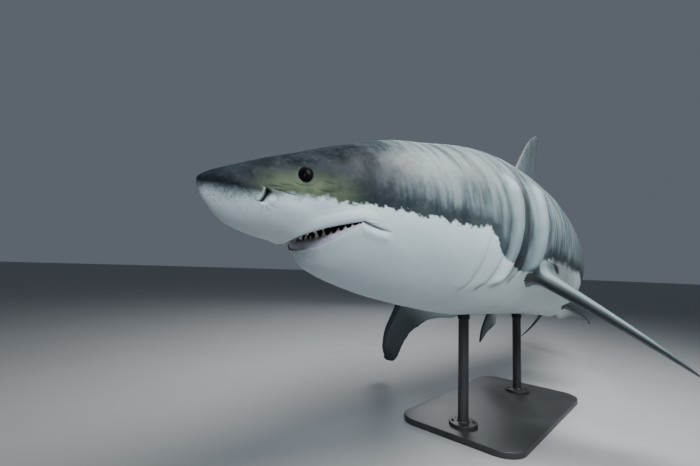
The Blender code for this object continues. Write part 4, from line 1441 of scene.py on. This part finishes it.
# The paired fins' undersides are dark, partly a dusky tone and partly painted shade, and the lower
# flank is darkened with painted shade, with a black spot behind each pectoral fin.
dusk_and_shade = paired * ease(0.25, 0.6, fin_out) * 0.85
dusk_and_shade = np.maximum(dusk_and_shade, (1 - is_fin) * 0.55 * hump(along, 39.5, 8.5) * hump(height, -3.0, 2.0))
axil_spot = (1 - is_fin) * 0.95 * ease(0.2, 0.6, hump(along, 35.5, 2.8) * hump(height, -3.75, 0.75))

# Darker tips and trailing edges, painted highlights on the roots and crests, and painted shade along the
# leading edge.
fin_tip = paired * (fin_face <= 0) * ease(0.90, 0.97, fin_out + 0.04 * np.sin(40 * fin_back))
fin_tip = np.maximum(fin_tip, is_fin * 0.5 * ease(0.93, 1.0, fin_back))
fin_tip = np.maximum(fin_tip, median * 0.35 * ease(0.25, 0.8, fin_out))
fin_root_highlight = paired * (1 - ease(0.0, 0.30, fin_out)) * (1 - ease(0.25, 0.6, fin_back))
fin_edge_shade = paired * (1 - ease(0.03, 0.09, fin_back)) * ease(0.04, 0.15, fin_out)
fin_crest_highlight = paired * (fin_face > 0) * hump(fin_back, 0.20, 0.14) * (1 - ease(0.7, 1.0, fin_out))

# The chin's grey mottling, partly dusky spots and partly painted shade under the jaw, and the pores of
# the snout.
chin = hump(along, 6.7, 1.1) * ease(-4.0, -4.7, height) * (1 - is_fin)
pore_field = hump(along, 1.9, 1.6) * hump(height, -1.1, 0.85)
pore_field = pore_field + 0.6 * hump(along, 4.2, 1.2) * hump(height, 0.1, 0.8)
pore_field = np.where(is_fin, 0, np.minimum(pore_field, 1))
for mark, values in (
    ("above_line", above_line),
    ("along", along),
    ("height", height),
    ("dusk_and_shade", dusk_and_shade),
    ("fin_tip", fin_tip),
    ("pore_field", pore_field),
    ("chin", chin),
    ("paired_fin", paired * ease(0.25, 0.5, fin_out)),
    ("median_fin", median * 1.0),
    ("fin_root_highlight", fin_root_highlight * 0.6),
    ("fin_edge_shade", fin_edge_shade * 0.85),
    ("fin_crest_highlight", fin_crest_highlight * 0.75),
    ("axil_spot", axil_spot),
):
    mesh.attributes.new(mark, "FLOAT", "POINT").data.foreach_set("value", values.astype(np.float32))


def shark_paint():
    """The whole paint, mixed from the marks on the skin and a few cloudy patterns."""
    material, shader = new_material("shark_paint")
    links = material.node_tree.links

    def mark(name):
        return shade(material, "ShaderNodeAttribute", attribute_name=name).outputs["Fac"]

    def give(socket, value):
        """Sets a socket to a number, or links another node's value into it."""
        if isinstance(value, (int, float)):
            socket.default_value = value
        else:
            links.new(value, socket)

    def maths(operation, first, second):
        node = shade(material, "ShaderNodeMath", operation=operation)
        give(node.inputs[0], first)
        give(node.inputs[1], second)
        return node.outputs["Value"]

    def noise(scale, detail=4.0):
        return cloud(material, place, scale, detail, roughness=0.55)

    def ramp(value, low, high, start=0.0, end=1.0):
        """Runs smoothly from the start to the end as the value goes from low to high."""
        node = shade(material, "ShaderNodeMapRange", [("Value", value)], interpolation_type="SMOOTHSTEP")
        for name, number in (("From Min", low), ("From Max", high), ("To Min", start), ("To Max", end)):
            give(node.inputs[name], number)
        return node.outputs["Result"]

    def blend(share, first, second):
        """The first colour, turning into the second as the share goes from 0 to 1."""
        node = shade(material, "ShaderNodeMix", data_type="RGBA")
        links.new(share, node.inputs["Factor"])
        for name, value in (("A", first), ("B", second)):
            socket = [s for s in node.inputs if s.name == name and s.type == "RGBA"][0]
            if isinstance(value, tuple):
                socket.default_value = (*value, 1)
            else:
                links.new(value, socket)
        return [s for s in node.outputs if s.type == "RGBA"][0]

    place = shade(material, "ShaderNodeTexCoord").outputs["Object"]
    along, above = mark("along"), mark("above_line")
    broad, middling, fray, speck = noise(3.5), noise(14.0), noise(60.0, 5.0), noise(190.0, 2.0)

    # The line between slate and chalk, frayed, with freckles scattered along it.
    ragged = maths("ADD", maths("MULTIPLY", middling, 1.4), fray)
    ragged = maths("MULTIPLY", maths("SUBTRACT", ragged, 1.2), ramp(along, 3, 9, 0.55, 1.0))
    edge = maths("ADD", above, ragged)
    softness = maths("ADD", ramp(along, 11, 3, 0.12, 0.60), ramp(along, 29, 34, 0.0, 0.35))
    dark = ramp(edge, maths("MULTIPLY", softness, -1.0), softness)
    freckle = ramp(maths("ADD", speck, maths("MULTIPLY", edge, 0.16)), 0.60, 0.66)
    freckle = maths("MULTIPLY", freckle, ramp(edge, -1.4, -0.3))
    dark = maths("MAXIMUM", dark, maths("MULTIPLY", freckle, 0.8))

    # The slate, from the head's to the flanks' and the plainer tail's.  Behind the head it turns paler
    # and streaked, as painted light, and the fins carry painted highlights on their roots and crests.
    streaks = shade(material, "ShaderNodeCombineXYZ")
    links.new(maths("MULTIPLY", along, 1.05), streaks.inputs["X"])
    links.new(maths("MULTIPLY", mark("height"), 0.16), streaks.inputs["Y"])
    light_and_gloss_streak = cloud(material, streaks.outputs["Vector"], scale=1.0, detail=4.0, roughness=0.6)
    head_slate = blend(ramp(middling, 0.35, 0.65), *HEAD_SLATE)
    body_slate_and_light = blend(ramp(light_and_gloss_streak, 0.34, 0.66), *FLANK_SLATE_AND_LIGHT)
    plain_slate = blend(ramp(light_and_gloss_streak, 0.30, 0.70), *PLAIN_SLATE)
    body_slate_and_light = blend(ramp(along, 43.0, 56.0), body_slate_and_light, plain_slate)
    on_fin = maths("MINIMUM", maths("ADD", mark("paired_fin"), mark("median_fin")), 1.0)
    body_slate_and_light = blend(on_fin, body_slate_and_light, plain_slate)
    body_slate_and_light = blend(mark("fin_root_highlight"), body_slate_and_light, FIN_ROOT_HIGHLIGHT)
    body_slate_and_light = blend(mark("fin_crest_highlight"), body_slate_and_light, FIN_CREST_HIGHLIGHT)
    behind_head = ramp(maths("ADD", along, maths("MULTIPLY", middling, 4.0)), 13.0, 18.0)
    slate = blend(behind_head, head_slate, body_slate_and_light)
    margin = maths("MULTIPLY", ramp(edge, 1.9, 0.5), ramp(along, 9.0, 13.0))
    slate = blend(maths("MULTIPLY", margin, 0.85), slate, MARGIN_SLATE)
    olive = blend(ramp(middling, 0.3, 0.7), *OLIVE)
    around_eye = maths("MULTIPLY", ramp(along, 11.2, 6.8), ramp(along, 2.2, 5.4))
    below_crown = ramp(maths("ADD", above, maths("MULTIPLY", middling, 1.4)), 3.3, 1.2)
    upper = blend(maths("MULTIPLY", around_eye, below_crown), slate, olive)
    upper = blend(maths("MULTIPLY", ramp(fray, 0.50, 0.72), 0.13), upper, SCUFF_GREY)

    # The chalk, with its dusky patches and painted shade, the dark ends of the fins, painted shade along
    # their leading edges, and the black spot behind each pectoral fin.
    chalk = blend(ramp(broad, 0.3, 0.7), *CHALK)
    chalk = blend(maths("MULTIPLY", ramp(middling, 0.45, 0.75), 0.25), chalk, CHALK_SHADE)
    chalk = blend(mark("dusk_and_shade"), chalk, blend(ramp(broad, 0.35, 0.65), *DUSK_AND_SHADE))
    chalk = blend(maths("MULTIPLY", mark("chin"), ramp(fray, 0.34, 0.58)), chalk, CHIN_GREY)
    colour = blend(dark, chalk, upper)
    colour = blend(mark("fin_tip"), colour, FIN_TIP_BLACK)
    colour = blend(mark("fin_edge_shade"), colour, FIN_EDGE_SHADE)
    colour = blend(mark("axil_spot"), colour, AXIL_BLACK)

    # Pores, then painted highlights and shade on the folds, painted shade along the lips, and painted
    # shade over the mouth's lining and in the gaps.
    pores = shade(material, "ShaderNodeTexVoronoi", [("Vector", place)], Scale=120.0)
    dots = maths("MULTIPLY", ramp(pores.outputs["Distance"], 0.30, 0.18), mark("pore_field"))
    colour = blend(maths("MULTIPLY", dots, 0.85), colour, PORE_BLACK)
    painted_highlight = maths("MAXIMUM", mark("fold_tone"), 0.0)
    colour = blend(painted_highlight, colour, blend(dark, *FOLD_HIGHLIGHT))
    painted_shade = maths("MAXIMUM", maths("MULTIPLY", mark("fold_tone"), -1.0), 0.0)
    colour = blend(painted_shade, colour, blend(dark, *FOLD_SHADE))
    colour = blend(maths("MULTIPLY", mark("lip_edge"), 0.12), colour, LIP_SHADE)
    colour = blend(mark("mouth_inside"), colour, MOUTH_SHADE)
    colour = blend(mark("dark_gap"), colour, GAP_SHADE)
    links.new(colour, shader.inputs["Base Color"])

    # The varnish: glossier in patches, shinier behind the head, over a fine denticle grain.
    gloss = maths("ADD", maths("MULTIPLY", light_and_gloss_streak, 0.7), maths("MULTIPLY", fray, 0.3))
    links.new(ramp(gloss, 0.38, 0.62, 0.30, 0.62), shader.inputs["Roughness"])
    links.new(ramp(along, 11.0, 18.0, 0.06, 0.26), shader.inputs["Specular IOR Level"])
    denticles = cloud(material, place, scale=900.0, detail=2.0)
    grain = maths("ADD", maths("MULTIPLY", denticles, 0.25), fray)
    fine_relief(material, shader, grain, strength=0.25, depth=0.0020)
    return material


skin.data.materials.clear()
skin.data.materials.append(shark_paint())


# ================================================================ the gums and teeth
# The lower jaw's gum is a soft band cast in flesh-coloured resin inside the lip.  The teeth are
# flat pointed blades of white resin set in it and in the palate, the tallest in front.

GUM_INSET = 0.10
GUM_SHARE = 0.58  # of the opening, which the gum fills
GUM_END = 0.95
# Across the gum from the lip inward: (distance, share of the gum's height).
GUM_SECTION = np.array(
    [
        (0.20, -0.30),
        (0.06, -0.06),
        (0.0, 0.16),
        (0.0, 0.55),
        (0.05, 0.85),
        (0.13, 1.0),
        (0.24, 0.96),
        (0.34, 0.75),
        (0.42, 0.4),
        (0.5, -0.3),
    ]
)
LOWER_TEETH = 18
UPPER_TEETH = 20
LOWER_TOOTH = 0.38
UPPER_TOOTH = 0.20
LOWER_TOOTH_INSET = GUM_INSET + 0.14
UPPER_TOOTH_INSET = 0.30
TOOTH_WIDTH = 0.56
TOOTH_THICKNESS = 0.11
TOOTH_ROOT = 0.16
TOOTH_ROW_END = 0.86
TOOTH_RAKE = 0.08  # how far a tooth's point leans forward or back
UPPER_GUM = 0.10  # how far above the lip's edge the upper teeth leave the palate
TOOTH_LEVELS = 14
TOOTH_SIDES = 12


def lip_curve(s, x, z):
    """A lip's edge as points for t from -1 at the right corner to 1 at the left."""
    line = np.stack([s, x, z], -1)[in_mouth][::-1]
    run = np.concatenate([[0], np.cumsum(np.linalg.norm(np.diff(line, axis=0), axis=-1))])
    return 2 * run / run[-1] - 1, line


LIP_CURVES = (lip_curve(*upper_edge), lip_curve(*lower_edge))


def arch_point(t, inset, lower):
    """A point at an inset behind the upper or lower lip's edge: s, x and z."""
    where, line = LIP_CURVES[int(lower)]

    def edge(t):
        return [np.interp(t, where, line[:, k]) for k in range(3)]

    s, x, z = edge(t)
    after, before = edge(t + 0.04), edge(t - 0.04)
    run_s, run_x = after[0] - before[0], after[1] - before[1]
    size = np.hypot(run_s, run_x)
    return s + run_x / size * inset, x - run_s / size * inset, z


def opening(s, z):
    """The height of the mouth's opening over a point of the lower row."""
    return lip_line(s) - z


build = bmesh.new()
t = np.linspace(-GUM_END, GUM_END, 241)[:, None]
places = np.arange(len(GUM_SECTION))
fine = np.linspace(0, len(GUM_SECTION) - 1, 37)
inward, rise = (flowing_line(places, column)(fine)[None] for column in GUM_SECTION.T)
s, x, z = arch_point(t, GUM_INSET + inward, 1.0)
room = opening(s, z)
tooth_number = (t / TOOTH_ROW_END + 1) / 2 * (LOWER_TEETH - 1)
scallop = 0.05 * np.cos(2 * math.pi * tooth_number) * np.clip(rise, 0, 1)
spots = at_body(s, x, z + rise * GUM_SHARE * room + scallop * np.minimum(room, 1))
grid = [[build.verts.new(p) for p in row] for row in spots.tolist()]
for one, two in zip(grid, grid[1:]):
    for i in range(len(one)):
        j = (i + 1) % len(one)
        build.faces.new((one[i], one[j], two[j], two[i]))
build.faces.new(grid[0][::-1])
build.faces.new(grid[-1])
bmesh.ops.recalc_face_normals(build, faces=build.faces)
gum = new_piece("lower_gum", build, 60)


def gum_resin():
    """Glossy lavender-pink gum with fine veins."""
    material, shader = new_material("gum_resin")
    place = shade(material, "ShaderNodeTexCoord").outputs["Object"]
    veins = cloud(material, place, scale=120.0, detail=5.0, roughness=0.65)
    tone = two_tones(material, veins, (0.35, (0.42, 0.38, 0.47)), (0.65, (0.62, 0.60, 0.70)))
    material.node_tree.links.new(tone, shader.inputs["Base Color"])
    fine_relief(material, shader, veins, strength=0.2, depth=0.001)
    shader.inputs["Roughness"].default_value = 0.28
    return material


def tooth_resin():
    """Ivory-white tooth resin, faintly clouded."""
    material, shader = new_material("tooth_resin")
    place = shade(material, "ShaderNodeTexCoord").outputs["Object"]
    haze = cloud(material, place, scale=60.0, detail=3.0)
    tone = two_tones(material, haze, (0.3, (0.70, 0.68, 0.62)), (0.7, (0.84, 0.84, 0.80)))
    material.node_tree.links.new(tone, shader.inputs["Base Color"])
    shader.inputs["Roughness"].default_value = 0.22
    return material


gum.data.materials.append(gum_resin())
fit_to_frame(gum, "gum", "lower_teeth")
ivory = tooth_resin()


def tooth(build, base, tip, width_way, width, thickness):
    """A serrated blade, lens-shaped across, from its root to its point."""
    rise = tip - base
    high = np.linalg.norm(rise)
    rise = rise / high
    wide = width_way - rise * (width_way @ rise)
    wide /= np.linalg.norm(wide)
    thin = np.cross(rise, wide)
    rings = []
    for k in range(TOOTH_LEVELS):
        share = k / TOOTH_LEVELS
        half = width / 2 * (1 - share) ** 0.85 * (1 + 0.05 * (k % 2))
        deep = thickness / 2 * (1 - share) ** 0.7
        ring = []
        for i in range(TOOTH_SIDES):
            a = 2 * math.pi * i / TOOTH_SIDES
            lens = abs(math.sin(a)) ** 1.3 * math.copysign(1, math.sin(a))
            spot = base + rise * high * share + wide * half * math.cos(a) + thin * deep * lens
            ring.append(build.verts.new(spot))
        rings.append(ring)
    point = build.verts.new(tip)
    for one, two in zip(rings, rings[1:]):
        for i in range(TOOTH_SIDES):
            j = (i + 1) % TOOTH_SIDES
            build.faces.new((one[i], one[j], two[j], two[i]))
    for i in range(TOOTH_SIDES):
        build.faces.new((rings[-1][i], rings[-1][(i + 1) % TOOTH_SIDES], point))
    build.faces.new(rings[0][::-1])


for name, count, lower, inset, length, node in (
    ("lower_tooth_row", LOWER_TEETH, 1.0, LOWER_TOOTH_INSET, LOWER_TOOTH, "lower_teeth"),
    ("upper_tooth_row", UPPER_TEETH, 0.0, UPPER_TOOTH_INSET, -UPPER_TOOTH, "head"),
):
    build = bmesh.new()
    for i in range(count):
        t = TOOTH_ROW_END * (2 * i / (count - 1) - 1)
        scale = (1 - 0.5 * t * t) * (1 + 0.22 * math.sin(7.3 * i) * math.sin(2.9 * i + 1))
        s, x, z = arch_point(t, inset, lower)
        beside = at_body(*arch_point(t + 0.02, inset, lower)) - at_body(s, x, z)
        gum_top = GUM_SHARE * opening(s, z) if lower else UPPER_GUM
        buried = math.copysign(TOOTH_ROOT, length)
        root = z + gum_top - buried
        rake = TOOTH_RAKE * math.sin(5.1 * i)
        tip = at_body(s + rake, x, root + (length + buried) * scale)
        tooth_width = TOOTH_WIDTH * PERCENT * scale
        tooth(build, at_body(s, x, root), tip, beside, tooth_width, TOOTH_THICKNESS * PERCENT)
    bmesh.ops.recalc_face_normals(build, faces=build.faces)
    teeth = new_piece(name, build, 50)
    teeth.data.materials.append(ivory)
    fit_to_frame(teeth, "gum", node)


# ================================================================ the eyes
# Each eye is a glass ball set in its socket.  The pupil is so wide that only a thin ring of very
# dark blue iris shows round it, and the glass has a soft polish.


def eye_glass():
    """Black glass whose pupil faces out, along the ball's own Z, within a dark blue iris."""
    material, shader = new_material("eye_glass")
    place = shade(material, "ShaderNodeTexCoord").outputs["Generated"]
    from_pupil = shade(material, "ShaderNodeVectorMath", [(0, place)], operation="DISTANCE")
    from_pupil.inputs[1].default_value = (0.5, 0.5, 1.0)
    pupil = (0.20, (0.0015, 0.0015, 0.0018))
    iris = (0.27, (0.004, 0.0045, 0.006))
    tone = two_tones(material, from_pupil.outputs["Value"], pupil, iris)
    material.node_tree.links.new(tone, shader.inputs["Base Color"])
    shader.inputs["Roughness"].default_value = 0.28
    shader.inputs["Specular IOR Level"].default_value = 0.025
    return material


glass = eye_glass()
for side, word in ((1, "left"), (-1, "right")):
    here, out, aft, _ = skin_frame(*EYE, side)
    build = bmesh.new()
    bmesh.ops.create_uvsphere(build, u_segments=96, v_segments=64, radius=EYE_RADIUS * PERCENT)
    ball = new_piece(f"eye_{word}_ball", build, 60)
    turn = Matrix((aft * EYE_SHAPE[0], np.cross(out, aft) * EYE_SHAPE[1], out)).transposed().to_4x4()
    turn.translation = Vector(here - out * EYE_SINK * PERCENT)
    ball.matrix_world = turn
    ball.data.materials.append(glass)
    fit_to_frame(ball, "eye_black", f"eye_{word}")


# ================================================================ the room
# A plain pale studio floor, a wide soft light overhead, a cooler fill on the viewer's side, a
# third light behind, and a dim bluish surround.

FLOOR_RADIUS = 60.0

build = bmesh.new()
bmesh.ops.create_circle(build, cap_ends=True, segments=96, radius=FLOOR_RADIUS)
floor = new_piece("studio_floor", build)
material, shader = new_material("studio_floor_paint")
place = shade(material, "ShaderNodeTexCoord").outputs["Object"]
mottle = cloud(material, place, scale=1.5, detail=4.0)
tone = two_tones(material, mottle, (0.0, (0.29, 0.30, 0.31)), (1.0, (0.33, 0.34, 0.35)))
material.node_tree.links.new(tone, shader.inputs["Base Color"])
shader.inputs["Roughness"].default_value = 0.7
floor.data.materials.append(material)


def area_light(name, place, target, size, power, colour, spread=180):
    """A round soft light at a place, aimed at a target; its beam's spread is in degrees."""
    light = bpy.data.lights.new(name, "AREA")
    light.shape = "DISK"
    light.size = size
    light.energy = power
    light.color = colour
    light.spread = math.radians(spread)
    lamp = bpy.data.objects.new(name, light)
    bpy.context.scene.collection.objects.link(lamp)
    lamp.location = place
    lamp.rotation_euler = (Vector(target) - Vector(place)).to_track_quat("-Z", "Y").to_euler()


area_light(
    "overhead_light",
    place=(1.2, 0.2, 3.5),
    target=(0, -0.1, 1.1),
    size=2.4,
    power=108,
    colour=(1.0, 0.985, 0.96),
    spread=110,
)
area_light(
    "fill_light",
    place=(3.3, -2.9, 3.3),
    target=(0, -0.6, 1.0),
    size=2.4,
    power=38,
    colour=(0.88, 0.95, 1.0),
    spread=70,
)
area_light(
    "back_light",
    place=(-3.5, 3.0, 3.0),
    target=(0, 0.6, 1.1),
    size=2.0,
    power=60,
    colour=(0.92, 0.96, 1.0),
)

world = bpy.data.worlds.new("surround")
bpy.context.scene.world = world
world.use_nodes = True
world.node_tree.nodes["Background"].inputs["Color"].default_value = (0.66, 0.76, 0.90, 1)
world.node_tree.nodes["Background"].inputs["Strength"].default_value = 0.17


# ================================================================ the viewpoint
# The viewer stands close by, to the left of the snout and just ahead of it, a little below its
# level, and looks back and up at the head.

VIEWER = (26.50, -4.72, -5.65)  # from the snout, in per cent of the length
VIEW_TURN = 0.579  # radians from -X towards +Y
VIEW_RISE = 0.091
VIEW_ROLL = 0.033
LENS = 19.08  # in mm, for a frame 36 mm wide

camera = bpy.data.cameras.new("viewer")
camera.lens = LENS
camera.sensor_width = 36
camera.clip_start = 0.01
viewer = bpy.data.objects.new("viewer", camera)
bpy.context.scene.collection.objects.link(viewer)
flat_share = math.cos(VIEW_RISE)
look = Vector((-math.cos(VIEW_TURN) * flat_share, math.sin(VIEW_TURN) * flat_share, math.sin(VIEW_RISE)))
level = look.cross(Vector((0, 0, 1))).normalized()
over = level.cross(look)
right = level * math.cos(VIEW_ROLL) + over * math.sin(VIEW_ROLL)
upright = over * math.cos(VIEW_ROLL) - level * math.sin(VIEW_ROLL)
stance = Matrix((right, upright, -look)).transposed().to_4x4()
stance.translation = Vector(to_world(np.array(VIEWER)))
viewer.matrix_world = stance
bpy.context.scene.camera = viewer
